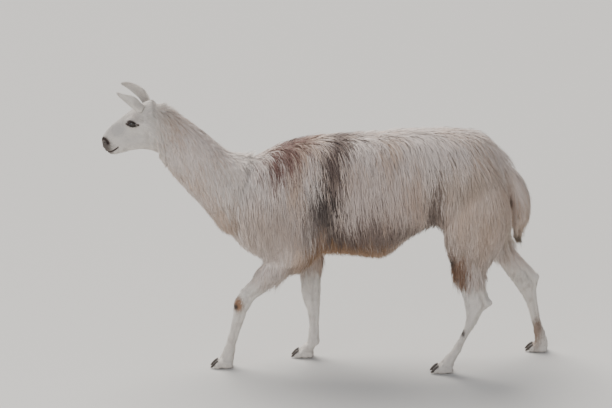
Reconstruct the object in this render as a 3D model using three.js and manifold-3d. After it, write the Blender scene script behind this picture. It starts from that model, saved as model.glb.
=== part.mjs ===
// A life-size llama, walking with its neck stretched forward, as separate solids: head, neck, trunk,
// tail, ears, eyes, and for each leg its woolly top, its shank, its two-toed foot and two toenails.
// Millimetres. The head points along -X, the animal's left side along -Y, and Z is up from the floor.
// Every body part is a loft: named sections, each a pair of edge points in the XZ plane with a width
// across Y, joined by a smooth curve through all of their values.
import * as THREE from "three";
import { LoftGeometry } from "three/addons/geometries/LoftGeometry.js";
import { mergeVertices } from "three/addons/utils/BufferGeometryUtils.js";
import Module from "manifold-3d";

const wasm = await Module();
wasm.setup();

// Driving sizes.
const JOINT_GAP = 0.3; // left open between solids that meet
const EYE_RADIUS = 21;
const EYE = new THREE.Vector3(-878, 48.5, 1174); // the right one's middle; the left mirrors it
const EAR_THICKNESS = 6;
const EAR_CUP = 13; // depth of the ear's hollow
const MOUTH_GAP = 2.4;
const TOE_SPACING = 38; // between the middles of a foot's two toes
const PASTERN_HEIGHT = 46; // where the leg's last length runs into the foot
// Facets round each kind of loft.
const SIDES = { head: 24, body: 20, tail: 12, legTop: 12, shank: 12, toe: 8, nail: 6 };

const finish = {
  fleece: new THREE.MeshStandardMaterial({ color: 0xe4dacb, roughness: 0.95, metalness: 0 }),
  shorthair: new THREE.MeshStandardMaterial({ color: 0xe9e5de, roughness: 0.85, metalness: 0 }),
  nail: new THREE.MeshStandardMaterial({ color: 0x2a2624, roughness: 0.5, metalness: 0 }),
  eye: new THREE.MeshStandardMaterial({ color: 0x120d0a, roughness: 0.08, metalness: 0 }),
};

// ---- Sections and lofts ---------------------------------------------------------------------

// One section: its edge points a and b (x, z), its half width across Y, and optionally y (its middle),
// peak (how far from a to b it is widest) and square (2 is an ellipse, more is boxier).
function section(a, b, half, { y = 0, peak = 0.5, square = 2.15 } = {}) {
  return [...a, ...b, half, y, peak, square];
}

// A smooth curve (Catmull-Rom) through lists of numbers, at share t of span i.
function between(rows, i, t) {
  const at = (k) => rows[Math.min(Math.max(k, 0), rows.length - 1)];
  const [p, q, r, s] = [at(i - 1), at(i), at(i + 1), at(i + 2)];
  return q.map((v, k) => {
    const slope = r[k] - p[k];
    const turn = 2 * p[k] - 5 * v + 4 * r[k] - s[k];
    const twist = 3 * (v - r[k]) + s[k] - p[k];
    return v + 0.5 * t * (slope + t * (turn + t * twist));
  });
}

// The named sections, with each span between them divided into `steps`.
function smooth(rows, steps) {
  const out = [];
  for (let i = 0; i < rows.length - 1; i++) {
    for (let k = 0; k < steps; k++) out.push(between(rows, i, k / steps));
  }
  return [...out, rows[rows.length - 1]];
}

// Sections that round off an end: they shrink while they step up to `reach` beyond the end section,
// to the side of it that `side` says (1 or -1).
function dome([ax, az, bx, bz, half, y, peak, square], reach, side) {
  const steps = 3;
  const [mx, mz] = [ax + (bx - ax) * peak, az + (bz - az) * peak];
  const length = Math.hypot(bx - ax, bz - az);
  const [nx, nz] = [((az - bz) / length) * side, ((bx - ax) / length) * side];
  return Array.from({ length: steps }, (_, k) => {
    const angle = ((k + 1) / (steps + 0.25)) * (Math.PI / 2);
    const size = Math.cos(angle);
    const out = reach * Math.sin(angle);
    const edge = (x, z) => [mx + (x - mx) * size + nx * out, mz + (z - mz) * size + nz * out];
    return [...edge(ax, az), ...edge(bx, bz), half * size, y, peak, square];
  });
}

// The ring of points round one section, `grow` larger all round.
function ring([ax, az, bx, bz, half, y, peak, square], count, grow) {
  const [mx, mz] = [ax + (bx - ax) * peak, az + (bz - az) * peak];
  const length = Math.hypot(bx - ax, bz - az);
  const [ux, uz] = [(ax - bx) / length, (az - bz) / length];
  const bend = (v) => Math.sign(v) * Math.abs(v) ** (2 / square);
  return Array.from({ length: count }, (_, i) => {
    const angle = (2 * Math.PI * (i + 0.5)) / count;
    const up = bend(Math.cos(angle));
    const reach = up * ((up > 0 ? peak : 1 - peak) * length + grow);
    return new THREE.Vector3(mx + ux * reach, y + bend(Math.sin(angle)) * (half + grow), mz + uz * reach);
  });
}

// An end section moved `step` further out from its neighbour.
function pushedOut([ax, az, bx, bz, ...rest], [cx, cz, dx, dz], step) {
  const [outX, outZ] = [ax + bx - cx - dx, az + bz - cz - dz];
  const share = step / Math.hypot(outX, outZ);
  return [ax + outX * share, az + outZ * share, bx + outX * share, bz + outZ * share, ...rest];
}

// A closed loft through sections, `grow` larger all round and at its ends. Its rings run anticlockwise
// as seen from its end, whichever way it runs.
function loft(rows, count, grow = 0) {
  const [[ax, az, bx, bz], [cx, cz, dx, dz]] = rows;
  const runsForward = (az - bz) * (cx + dx - ax - bx) > (ax - bx) * (cz + dz - az - bz);
  const last = rows.length - 1;
  const grown = [
    pushedOut(rows[0], rows[1], 1.5 * grow),
    ...rows.slice(1, last),
    pushedOut(rows[last], rows[last - 1], 1.5 * grow),
  ];
  const rings = grown.map((row) => ring(row, count, grow));
  if (runsForward) rings.forEach((points) => points.reverse());
  return new LoftGeometry(rings, { capStart: true, capEnd: true });
}

// ---- Joining and cutting --------------------------------------------------------------------

// A closed geometry as a solid.
function solid(geometry) {
  const bare = new THREE.BufferGeometry().copy(geometry);
  for (const name of ["normal", "uv"]) bare.deleteAttribute(name);
  const merged = mergeVertices(bare, 1e-3);
  const vertProperties = merged.attributes.position.array;
  const triVerts = new Uint32Array(merged.index.array);
  return new wasm.Manifold(new wasm.Mesh({ numProp: 3, vertProperties, triVerts }));
}

const joined = (pieces) => pieces.reduce((whole, piece) => whole.add(piece));
const cutBy = (piece, cutters) => cutters.reduce((left, cutter) => left.subtract(cutter), piece);

// A ball stretched to three radii.
const egg = (rx, ry, rz) => new THREE.SphereGeometry(1, 10, 7).scale(rx, ry, rz);

function namedMesh(name, made, material) {
  const { vertProperties, triVerts, numProp } = made.getMesh();
  const geometry = new THREE.BufferGeometry();
  geometry.setAttribute("position", new THREE.BufferAttribute(new Float32Array(vertProperties), numProp));
  geometry.setIndex(new THREE.BufferAttribute(new Uint32Array(triVerts), 1));
  geometry.computeVertexNormals();
  const mesh = new THREE.Mesh(geometry, material);
  mesh.name = name;
  return mesh;
}

// ---- Head, neck and trunk: one long body, parted by thin cuts --------------------------------

// Top edge and underside of each section, from the nose to the ruff behind the jaw.
const headRows = [
  section([-1021, 1108], [-1017, 1047], 24, { square: 2.5 }), // nostrils
  section([-1006, 1132], [-1001, 1027], 31, { peak: 0.58, square: 2.5 }), // lips
  section([-978, 1161], [-961, 1018], 33, { peak: 0.6, square: 2.4 }), // chin
  section([-949, 1183], [-922, 1028], 36, { peak: 0.58 }), // bridge of the nose
  section([-923, 1204], [-882, 1038], 45, { peak: 0.5 }), // below the eyes
  section([-893, 1225], [-846, 1043], 56, { peak: 0.42 }), // eyes
  section([-861, 1245], [-816, 1041], 61, { peak: 0.42 }), // brow and cheek
  section([-828, 1264], [-791, 1035], 65, { peak: 0.46 }), // poll and jaw angle
  section([-791, 1279], [-770, 1020], 79, { peak: 0.5 }), // ruff
];
const neckRows = [
  headRows[headRows.length - 1],
  section([-725, 1251], [-750, 983], 89, { peak: 0.52 }),
  section([-640, 1196], [-714, 929], 94, { peak: 0.54 }), // upper neck
  section([-554, 1131], [-664, 870], 101, { peak: 0.56 }),
  section([-486, 1061], [-605, 809], 110, { peak: 0.58 }), // middle
  section([-433, 1018], [-540, 746], 124, { peak: 0.58 }),
  section([-378, 1018], [-478, 667], 146, { peak: 0.57 }), // root of the neck
];
const trunkRows = [
  neckRows[neckRows.length - 1],
  section([-314, 1032], [-413, 592], 172, { peak: 0.56 }), // breast
  section([-237, 1065], [-319, 526], 194, { peak: 0.55 }),
  section([-148, 1094], [-213, 507], 208, { peak: 0.53, square: 2.2 }), // shoulders
  section([-49, 1114], [-85, 526], 217, { peak: 0.52, square: 2.25 }), // withers
  section([79, 1123], [70, 544], 226, { peak: 0.52, square: 2.3 }),
  section([197, 1129], [199, 528], 232, { peak: 0.53, square: 2.3 }), // ribs
  section([301, 1137], [306, 536], 231, { peak: 0.52, square: 2.3 }),
  section([394, 1144], [388, 606], 224, { peak: 0.5, square: 2.25 }), // loin
  section([493, 1147], [486, 664], 214, { peak: 0.46, square: 2.2 }), // flank
  section([591, 1149], [591, 686], 203, { peak: 0.42 }),
  section([680, 1143], [691, 688], 186, { peak: 0.42 }), // croup
  section([751, 1125], [779, 710], 152, { peak: 0.42 }),
  section([796, 1085], [829, 772], 104, { peak: 0.42 }), // dock
];

// The same row a little further along, so that two solids that share it leave the gap open.
const afterGap = ([[ax, az, bx, bz, ...rest], ...more]) => [
  [ax + JOINT_GAP, az, bx + JOINT_GAP, bz, ...rest],
  ...more,
];

const headShape = [...dome(headRows[0], 9, -1).reverse(), ...smooth(headRows, 2)];
const neckShape = afterGap(smooth(neckRows, 2));
const trunkShape = [...afterGap(smooth(trunkRows, 2)), ...dome(trunkRows[trunkRows.length - 1], 34, 1)];
const headRoom = solid(loft(headShape, SIDES.head, JOINT_GAP));
const neckRoom = solid(loft(neckShape, SIDES.body, JOINT_GAP));
const trunkRoom = solid(loft(trunkShape, SIDES.body, JOINT_GAP));

// ---- Head ------------------------------------------------------------------------------------

// The bony rim that carries the eye out to the side, and the socket in it.
const orbit = (side) => solid(egg(44, 23, 34).translate(EYE.x + 3, side * 43, EYE.z + 3));
const globe = (radius, side) => egg(radius, radius, radius).translate(EYE.x, side * EYE.y, EYE.z);
const socket = (side) => solid(globe(EYE_RADIUS + JOINT_GAP, side));
const nostril = (side) => solid(egg(12, 8, 4.5).rotateY(0.35).translate(-1013, side * 26, 1084));

// The closed mouth is a thin gap that runs from the front of the lips up and back to their corners.
const mouth = solid(new THREE.BoxGeometry(90, 120, MOUTH_GAP).rotateY(-0.73).translate(-984, 0, 1034));

const head = cutBy(joined([solid(loft(headShape, SIDES.head)), orbit(-1), orbit(1)]), [
  socket(-1),
  socket(1),
  nostril(-1),
  nostril(1),
  mouth,
]);

// ---- Ears: long curved leaves, hollow on the side that faces the middle ------------------------

const EAR_ARC_POINTS = 7;
const EAR_RINGS = 9;

// One crescent across an ear: an outer arc and an inner one, `cup` deep, that lie across the
// direction `wide` and are hollow towards `facing`.
function earSection(middle, wide, facing, width, cup, thick) {
  const arc = (depth, reach, direction) =>
    Array.from({ length: EAR_ARC_POINTS }, (_, i) => {
      const share = direction * ((2 * i) / (EAR_ARC_POINTS - 1) - 1);
      const along = middle.clone().addScaledVector(wide, share * reach);
      return along.addScaledVector(facing, -depth * (1 - share * share));
    });
  return [...arc(cup + thick, 0.5 * width, -1), ...arc(cup, 0.44 * width, 1)];
}

// The middle line bends from base to tip past `bend`; the ear is widest near its middle.
function ear({ base, bend, tip, facing, width }) {
  const line = new THREE.QuadraticBezierCurve3(base, bend, tip);
  const sections = Array.from({ length: EAR_RINGS }, (_, i) => {
    const t = i / (EAR_RINGS - 1);
    const along = line.getTangent(t);
    const wide = new THREE.Vector3().crossVectors(along, facing).normalize();
    const face = new THREE.Vector3().crossVectors(wide, along).normalize();
    const leaf = Math.sin(Math.PI * (0.26 + 0.72 * t ** 0.9)) ** 0.75;
    const thick = EAR_THICKNESS * (1 - 0.5 * t);
    return earSection(line.getPoint(t), wide, face, width * leaf + 3, EAR_CUP * leaf, thick);
  });
  return solid(new LoftGeometry(sections, { capStart: true, capEnd: true }));
}

const point = (x, y, z) => new THREE.Vector3(x, y, z);
const ears = {
  ear_left: ear({
    base: point(-838, -44, 1262),
    bend: point(-893, -70, 1289),
    tip: point(-947, -48, 1319),
    facing: point(0.3, 0.9, 0.1),
    width: 38,
  }),
  ear_right: ear({
    base: point(-806, 42, 1262),
    bend: point(-887, 74, 1335),
    tip: point(-936, 50, 1342),
    facing: point(0.1, -0.95, -0.25),
    width: 44,
  }),
};

// ---- Tail: a bushy hanging brush --------------------------------------------------------------

const tailRows = [
  section([780, 1073], [734, 1028], 30),
  section([842, 1039], [784, 982], 45), // root
  section([899, 972], [829, 918], 53),
  section([941, 898], [856, 864], 57), // middle
  section([969, 829], [872, 805], 57),
  section([978, 765], [879, 750], 52),
  section([968, 703], [883, 692], 44),
  section([940, 652], [886, 643], 31),
  section([915, 612], [893, 608], 12), // tip
];
const tail = cutBy(solid(loft(tailRows, SIDES.tail)), [trunkRoom]);
const tailRoom = solid(loft(tailRows, SIDES.tail, JOINT_GAP));

// ---- Legs ------------------------------------------------------------------------------------

// Each leg is its woolly top (shoulder or thigh), the shank from elbow or stifle to fetlock, and the
// foot. Edge point a is the front of the leg and b its back, and y counts outwards from the middle.
const legs = {
  foreleg_left: {
    side: -1,
    top: [
      section([-210, 978], [-93, 978], 40, { y: 120 }), // top of the shoulder blade
      section([-308, 876], [-39, 890], 78, { y: 132 }),
      section([-349, 758], [-5, 768], 92, { y: 138, square: 2.3 }),
      section([-340, 660], [5, 660], 92, { y: 138, square: 2.3 }), // shoulder
      section([-301, 576], [-5, 573], 80, { y: 134, square: 2.3 }),
      section([-275, 524], [-42, 518], 62, { y: 130 }), // lower edge of the wool
      section([-253, 496], [-84, 492], 40, { y: 128 }),
    ],
    shank: [
      section([-232, 601], [-109, 561], 44, { y: 126 }), // elbow
      section([-283, 521], [-189, 462], 44, { y: 120 }),
      section([-336, 442], [-267, 385], 40, { y: 112 }), // forearm
      section([-391, 381], [-324, 339], 34, { y: 104 }),
      section([-417, 329], [-345, 302], 36, { y: 98 }), // knee
      section([-424, 262], [-362, 268], 31, { y: 93 }),
      section([-439, 186], [-385, 198], 24, { y: 88 }), // cannon
      section([-455, 129], [-404, 139], 24, { y: 85 }),
      section([-469, 92], [-414, 100], 27, { y: 82 }), // fetlock
    ],
    foot: { x: -466, turn: 0.04 },
  },
  foreleg_right: {
    side: 1,
    top: [
      section([-206, 986], [-85, 986], 40, { y: 120 }),
      section([-302, 882], [-30, 897], 78, { y: 132 }),
      section([-339, 762], [10, 772], 92, { y: 138, square: 2.3 }),
      section([-319, 661], [25, 661], 92, { y: 138, square: 2.3 }),
      section([-259, 575], [15, 571], 80, { y: 134, square: 2.3 }),
      section([-209, 525], [0, 519], 62, { y: 128 }),
      section([-168, 496], [-31, 492], 40, { y: 122 }),
    ],
    shank: [
      section([-142, 600], [-5, 600], 44, { y: 120 }),
      section([-110, 503], [-6, 503], 43, { y: 110 }),
      section([-106, 417], [-8, 417], 38, { y: 100 }),
      section([-106, 345], [-8, 345], 34, { y: 91 }),
      section([-99, 290], [-12, 283], 35, { y: 85 }),
      section([-76, 232], [-14, 228], 30, { y: 79 }),
      section([-66, 168], [-17, 168], 24, { y: 73 }),
      section([-68, 112], [-16, 112], 25, { y: 68 }),
      section([-76, 74], [-15, 72], 28, { y: 66 }),
    ],
    foot: { x: -84, turn: -0.03 },
  },
  hindleg_left: {
    side: -1,
    top: [
      section([616, 1051], [743, 1051], 40, { y: 104 }), // hip
      section([555, 968], [821, 968], 84, { y: 118 }),
      section([529, 876], [864, 876], 104, { y: 126, square: 2.3 }), // thigh
      section([524, 788], [872, 788], 108, { y: 130, square: 2.3 }),
      section([531, 705], [866, 705], 100, { y: 132, square: 2.3 }),
      section([550, 626], [838, 621], 86, { y: 134 }),
      section([576, 552], [802, 550], 68, { y: 136 }), // stifle
      section([600, 500], [767, 498], 50, { y: 138 }),
    ],
    shank: [
      section([592, 571], [743, 571], 52, { y: 136 }),
      section([606, 490], [742, 484], 50, { y: 139 }), // gaskin
      section([628, 424], [756, 420], 42, { y: 143 }),
      section([651, 366], [776, 364], 34, { y: 147 }),
      section([664, 302], [791, 341], 32, { y: 150, peak: 0.4 }), // hock
      section([668, 264], [747, 302], 30, { y: 151, peak: 0.45 }),
      section([659, 217], [720, 242], 26, { y: 152 }),
      section([634, 161], [684, 182], 23, { y: 152 }), // cannon
      section([603, 105], [655, 123], 27, { y: 152 }), // fetlock
    ],
    foot: { x: 572, turn: 0.05 },
  },
  hindleg_right: {
    side: 1,
    top: [
      section([639, 1060], [769, 1060], 40, { y: 104 }),
      section([582, 976], [851, 976], 84, { y: 118 }),
      section([564, 882], [894, 882], 104, { y: 126, square: 2.3 }),
      section([575, 792], [909, 792], 108, { y: 130, square: 2.3 }),
      section([612, 706], [917, 706], 98, { y: 133, square: 2.3 }),
      section([672, 632], [913, 641], 82, { y: 138 }),
      section([741, 565], [895, 590], 64, { y: 143 }),
      section([787, 529], [883, 565], 46, { y: 146 }),
    ],
    shank: [
      section([747, 600], [873, 641], 50, { y: 142 }),
      section([808, 498], [888, 565], 46, { y: 147 }),
      section([865, 416], [949, 484], 41, { y: 150 }),
      section([918, 344], [998, 432], 35, { y: 152 }),
      section([961, 282], [1040, 383], 32, { y: 153, peak: 0.4 }),
      section([983, 240], [1030, 311], 29, { y: 153, peak: 0.45 }),
      section([998, 193], [1041, 230], 25, { y: 153 }),
      section([1015, 135], [1060, 147], 23, { y: 153 }),
      section([1026, 88], [1080, 94], 27, { y: 152 }),
    ],
    foot: { x: 1052, turn: -0.05 },
  },
};

// Top edge and underside of a toe that lies along X with its tip at -X; the floor cuts it flat.
const toeRows = [
  section([42, 24], [42, 8], 9),
  section([32, 42], [32, -3], 19, { square: 2.6 }), // heel
  section([-12, 47], [-12, -4], 22, { square: 2.6 }), // ball
  section([-42, 29], [-42, -3], 17, { square: 2.4 }),
  section([-54, 17], [-54, 3], 8),
];
const nailRows = [
  section([-30, 43], [-30, 22], 9),
  section([-44, 36], [-44, 12], 12),
  section([-58, 22], [-56, 4], 10),
  section([-68, 7], [-67, 2], 3),
];
const floor = solid(new THREE.BoxGeometry(4000, 2000, 50).translate(0, 0, -25));

// The foot and nails under the fetlock section that ends a leg's shank.
function footOf(name, side, fetlock, { x, turn }) {
  const [ax, az, bx, bz, half, y] = fetlock;
  const place = (geometry, toe) => {
    geometry.translate(0, (toe * TOE_SPACING) / 2, 0);
    return geometry.rotateZ(turn).translate(x, y, 0);
  };
  const pastern = [
    section([ax, az - JOINT_GAP], [bx, bz - JOINT_GAP], half, { y }),
    section([x - 22, PASTERN_HEIGHT], [x + 45, PASTERN_HEIGHT - 2], 34, { y, square: 2.5 }),
    section([x - 34, 6], [x + 38, 6], 31, { y, square: 2.6 }),
  ];
  const toes = [-1, 1].map((toe) => solid(place(loft(toeRows, SIDES.toe), toe)));
  const toeRoom = [-1, 1].map((toe) => solid(place(loft(toeRows, SIDES.toe, JOINT_GAP), toe)));
  const pasternShape = smooth(pastern, 2);
  const foot = joined([solid(loft(pasternShape, SIDES.shank)), ...toes]).subtract(floor);
  const pasternRoom = solid(loft(pasternShape.slice(1), SIDES.shank, JOINT_GAP));
  const nails = [-1, 1].map((toe) => {
    const nail = cutBy(solid(place(loft(nailRows, SIDES.nail), toe)), [...toeRoom, pasternRoom]);
    return namedMesh(`${name}_nail_${toe === side ? "outer" : "inner"}`, nail, finish.nail);
  });
  return [namedMesh(`${name}_foot`, foot, finish.shorthair), ...nails];
}

const onSide = (rows, side) => rows.map((row) => row.map((v, k) => (k === 5 ? v * side : v)));

function leg(name, { side, top, shank, foot }) {
  const topShape = smooth(onSide(top, side), 2);
  const shankRows = onSide(shank, side);
  const topRoom = solid(loft(topShape, SIDES.legTop, JOINT_GAP));
  const woolly = cutBy(solid(loft(topShape, SIDES.legTop)), [trunkRoom, neckRoom, tailRoom]);
  const lower = cutBy(solid(loft(shankRows, SIDES.shank)), [topRoom, trunkRoom]);
  const topName = name.startsWith("fore") ? "shoulder" : "thigh";
  const group = new THREE.Group();
  group.add(
    namedMesh(`${name}_${topName}`, woolly, finish.fleece),
    namedMesh(`${name}_shank`, lower, finish.shorthair),
    ...footOf(name, side, shankRows[shankRows.length - 1], foot),
  );
  return group;
}

// ---- The whole animal, its box centred on the origin and its soles on the floor ---------------

const llama = new THREE.Group();
llama.add(
  namedMesh("head", head, finish.shorthair),
  namedMesh("neck", solid(loft(neckShape, SIDES.body)), finish.fleece),
  namedMesh("trunk", solid(loft(trunkShape, SIDES.body)), finish.fleece),
  namedMesh("tail", tail, finish.fleece),
  namedMesh("eye_left", solid(globe(EYE_RADIUS, -1)), finish.eye),
  namedMesh("eye_right", solid(globe(EYE_RADIUS, 1)), finish.eye),
  ...Object.entries(ears).map(([name, made]) =>
    namedMesh(name, cutBy(made, [headRoom, neckRoom]), finish.shorthair),
  ),
  ...Object.entries(legs).map(([name, parts]) => leg(name, parts)),
);
const middle = new THREE.Box3().setFromObject(llama, true).getCenter(new THREE.Vector3());
llama.position.set(-middle.x, -middle.y, 0);

export default llama;
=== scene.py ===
import math

import bpy
import numpy as np
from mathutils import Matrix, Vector
from mathutils.bvhtree import BVHTree
from mathutils.kdtree import KDTree


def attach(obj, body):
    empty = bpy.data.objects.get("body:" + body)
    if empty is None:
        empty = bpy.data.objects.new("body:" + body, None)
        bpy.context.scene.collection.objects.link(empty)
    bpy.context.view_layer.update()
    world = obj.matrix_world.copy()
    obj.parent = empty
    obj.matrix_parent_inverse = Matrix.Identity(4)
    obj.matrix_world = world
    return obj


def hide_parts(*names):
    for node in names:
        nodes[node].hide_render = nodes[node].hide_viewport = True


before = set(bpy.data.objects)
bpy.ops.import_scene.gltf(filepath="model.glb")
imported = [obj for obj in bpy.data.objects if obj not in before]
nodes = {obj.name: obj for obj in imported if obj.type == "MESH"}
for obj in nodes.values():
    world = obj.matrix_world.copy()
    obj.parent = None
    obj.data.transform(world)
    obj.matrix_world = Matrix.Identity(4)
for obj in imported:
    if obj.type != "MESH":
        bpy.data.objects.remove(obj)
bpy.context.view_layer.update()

# ---- Studio ------------------------------------------------------------------------------------
# A pale floor under soft studio light: a soft key from above and behind the animal, a broad weak
# panel in front of it. The camera stands nine metres off, a little above the animal's back.
VIEW_CENTRE = Vector((-0.114, 0.035, 0.769))
VIEW_DISTANCE = 9.0
VIEW_DROP = math.radians(15.0)
LENS_MM = 112.6

camera_data = bpy.data.cameras.new("studio_camera")
camera = bpy.data.objects.new("studio_camera", camera_data)
bpy.context.collection.objects.link(camera)
camera_data.lens = LENS_MM
camera_data.sensor_width = 36.0
camera_data.clip_end = 60.0
camera.location = VIEW_CENTRE + VIEW_DISTANCE * Vector((0, -math.cos(VIEW_DROP), math.sin(VIEW_DROP)))
camera.rotation_euler = (math.pi / 2 - VIEW_DROP, 0, 0)
bpy.context.scene.camera = camera

bpy.ops.mesh.primitive_plane_add(size=60, location=(0, 0, 0))
floor = bpy.context.object
floor.name = "studio_floor"
floor_paint = bpy.data.materials.new("studio_floor_paint")
floor_paint.use_nodes = True
floor_surface = floor_paint.node_tree.nodes["Principled BSDF"]
floor_surface.inputs["Base Color"].default_value = (0.60, 0.59, 0.57, 1)
floor_surface.inputs["Roughness"].default_value = 0.9
floor.data.materials.append(floor_paint)

key_light = bpy.data.lights.new("key_above_behind", "SUN")
key_light.energy = 4.7
key_light.angle = math.radians(48)
key_light.color = (1.0, 0.965, 0.91)
key_lamp = bpy.data.objects.new("key_above_behind", key_light)
bpy.context.collection.objects.link(key_lamp)
key_lamp.rotation_euler = Vector((0.30, -0.62, -1.0)).to_track_quat("-Z", "Y").to_euler()

fill_light = bpy.data.lights.new("fill_front", "AREA")
fill_light.shape = "RECTANGLE"
fill_light.size = 5.0
fill_light.size_y = 3.0
fill_light.energy = 150
fill_light.color = (0.97, 0.98, 1.0)
fill_lamp = bpy.data.objects.new("fill_front", fill_light)
bpy.context.collection.objects.link(fill_lamp)
fill_lamp.location = (-3.0, -6.0, 3.2)
fill_lamp.rotation_euler = (Vector((0, 0, 0.6)) - fill_lamp.location).to_track_quat("-Z", "Y").to_euler()

world = bpy.data.worlds.new("studio_room")
bpy.context.scene.world = world
world.use_nodes = True
world.node_tree.nodes["Background"].inputs["Color"].default_value = (0.84, 0.87, 0.94, 1)
world.node_tree.nodes["Background"].inputs["Strength"].default_value = 0.43

# ---- Skin ----------------------------------------------------------------------------------------
# One skin over head, neck, trunk, tail, ears and legs. The solids are melted together without a
# seam and drawn in by the coat's depth: centimetres under the fleece, next to nothing on the face
# and feet, where the lips, nostrils, brows and tendons are then pressed into it.
FLEECE_DEPTH = {"trunk": 0.030, "neck": 0.021, "tail": 0.024, "shoulder": 0.030, "thigh": 0.029}
SHORT_COAT_DEPTH = 0.0025
EYE_CENTRE = (-0.91196, 0.0485, 1.174)
EYE_RADIUS = 0.021
LID_THICKNESS = 0.0026


def active(piece):
    bpy.ops.object.select_all(action="DESELECT")
    piece.select_set(True)
    bpy.context.view_layer.objects.active = piece


def apply_modifier(piece, kind, **settings):
    active(piece)
    modifier = piece.modifiers.new(kind.lower(), kind)
    for setting, value in settings.items():
        setattr(modifier, setting, value)
    bpy.ops.object.modifier_apply(modifier=modifier.name)


def read_vectors(collection, field):
    values = np.empty(len(collection) * 3, dtype=np.float32)
    collection.foreach_get(field, values)
    return values.reshape(-1, 3).astype(np.float64)


def places_of(piece):
    return read_vectors(piece.data.vertices, "co")


def normals_of(piece):
    return read_vectors(piece.data.vertices, "normal")


def set_places(piece, places):
    piece.data.vertices.foreach_set("co", places.astype(np.float32).ravel())
    piece.data.update()


def ramp(values, low, high):
    """0 below low and 1 above high, eased between (low may be the greater)."""
    t = np.clip((values - low) / (high - low), 0, 1)
    return t * t * (3 - 2 * t)


def unit(vectors):
    return vectors / np.maximum(np.linalg.norm(vectors, axis=-1, keepdims=True), 1e-12)


class Neighbours:
    """Averages of values over each vertex's edges."""

    def __init__(self, piece):
        edges = np.empty(len(piece.data.edges) * 2, dtype=np.int64)
        piece.data.edges.foreach_get("vertices", edges)
        self.start, self.end = edges.reshape(-1, 2).T
        self.count = len(piece.data.vertices)
        self.degree = self.summed(np.ones(self.count))

    def summed(self, column):
        to_start = np.bincount(self.start, column[self.end], self.count)
        return to_start + np.bincount(self.end, column[self.start], self.count)

    def mean(self, values):
        columns = [self.summed(column) / self.degree for column in values.reshape(self.count, -1).T]
        return np.stack(columns, axis=-1).reshape(values.shape)

    def blurred(self, values, rounds, share=0.6):
        for _ in range(rounds):
            values = values + share * (self.mean(values) - values)
        return values

    def relaxed(self, values, rounds, weight=1.0):
        """Smoothed without shrinking: every step in is followed by a slightly longer step out."""
        for _ in range(rounds):
            values = values + 0.55 * weight * (self.mean(values) - values)
            values = values - 0.57 * weight * (self.mean(values) - values)
        return values


flesh_names = [name for name in nodes if not name.startswith("eye_") and "_nail_" not in name]
flesh_corners = []
flesh_faces = []
flesh_of_face = []
for index, name in enumerate(flesh_names):
    offset = len(flesh_corners)
    flesh_corners.extend(vertex.co.copy() for vertex in nodes[name].data.vertices)
    for face in nodes[name].data.polygons:
        flesh_faces.append([offset + corner for corner in face.vertices])
        flesh_of_face.append(index)
flesh_tree = BVHTree.FromPolygons(flesh_corners, flesh_faces)


def melted(name, names, voxel, cut_at=None, cut_side=None, lids=False):
    """The named solids as one closed surface, with what lies past a cutting plane left out."""
    bpy.ops.object.select_all(action="DESELECT")
    for node in names:
        piece = bpy.data.objects.new(name, nodes[node].data.copy())
        bpy.context.collection.objects.link(piece)
        piece.select_set(True)
        bpy.context.view_layer.objects.active = piece
    bpy.ops.object.join()
    piece = bpy.context.object
    piece.name = piece.data.name = name
    piece.data.materials.clear()
    bpy.ops.object.mode_set(mode="EDIT")
    bpy.ops.mesh.select_all(action="SELECT")
    bpy.ops.mesh.remove_doubles(threshold=1e-6)
    if cut_at:
        bpy.ops.mesh.bisect(plane_co=cut_at, plane_no=cut_side, use_fill=True, clear_outer=True)
    if lids:
        for side in (-1, 1):
            lid_place = (EYE_CENTRE[0], side * EYE_CENTRE[1], EYE_CENTRE[2])
            lid_radius = EYE_RADIUS + LID_THICKNESS
            bpy.ops.mesh.primitive_ico_sphere_add(subdivisions=4, radius=lid_radius, location=lid_place)
    bpy.ops.object.mode_set(mode="OBJECT")
    apply_modifier(piece, "REMESH", mode="VOXEL", voxel_size=voxel)
    return piece


def named(*words):
    return [name for name in flesh_names if any(word in name for word in words)]


NECK_CUT = -0.765
LEG_CUT = 0.495
skin = melted("llama_skin", [name for name in flesh_names if "ear" not in name], 0.0115)
legs = melted("leg_skin", named("shank", "foot", "thigh", "shoulder"), 0.0040, (0, 0, LEG_CUT), (0, 0, 1))
head = melted("head_skin", named("head", "neck"), 0.0028, (NECK_CUT, 0, 1), (1, 0, 0), lids=True)
ears = melted("ear_skin", named("ear_"), 0.0018)

# How deep the skin lies under the coat's outline, blended across the borders of the solids.
coarse_places = places_of(skin)
part_of = np.array([flesh_of_face[flesh_tree.find_nearest(Vector(place))[2]] for place in coarse_places])
depth_of_part = np.array([
    next((depth for word, depth in FLEECE_DEPTH.items() if word in name), SHORT_COAT_DEPTH)
    for name in flesh_names
])
coarse_depth = Neighbours(skin).blurred(depth_of_part[part_of], 10)
coarse_tree = KDTree(len(coarse_places))
for index, place in enumerate(coarse_places):
    coarse_tree.insert(place, index)
coarse_tree.balance()


def coat_depth_at(places):
    depths = []
    for place in places:
        found = coarse_tree.find_n(Vector(place), 4)
        shares = [1 / (distance + 0.004) for _, _, distance in found]
        depths.append(sum(share * coarse_depth[item[1]] for share, item in zip(shares, found)) / sum(shares))
    return np.array(depths)


# The coat takes up at most a share of the body's own thickness, measured straight through it.
THICKEST = 0.3
THICKNESS_SHARE = 0.34
BURIED_DEPTH = 0.006


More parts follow.
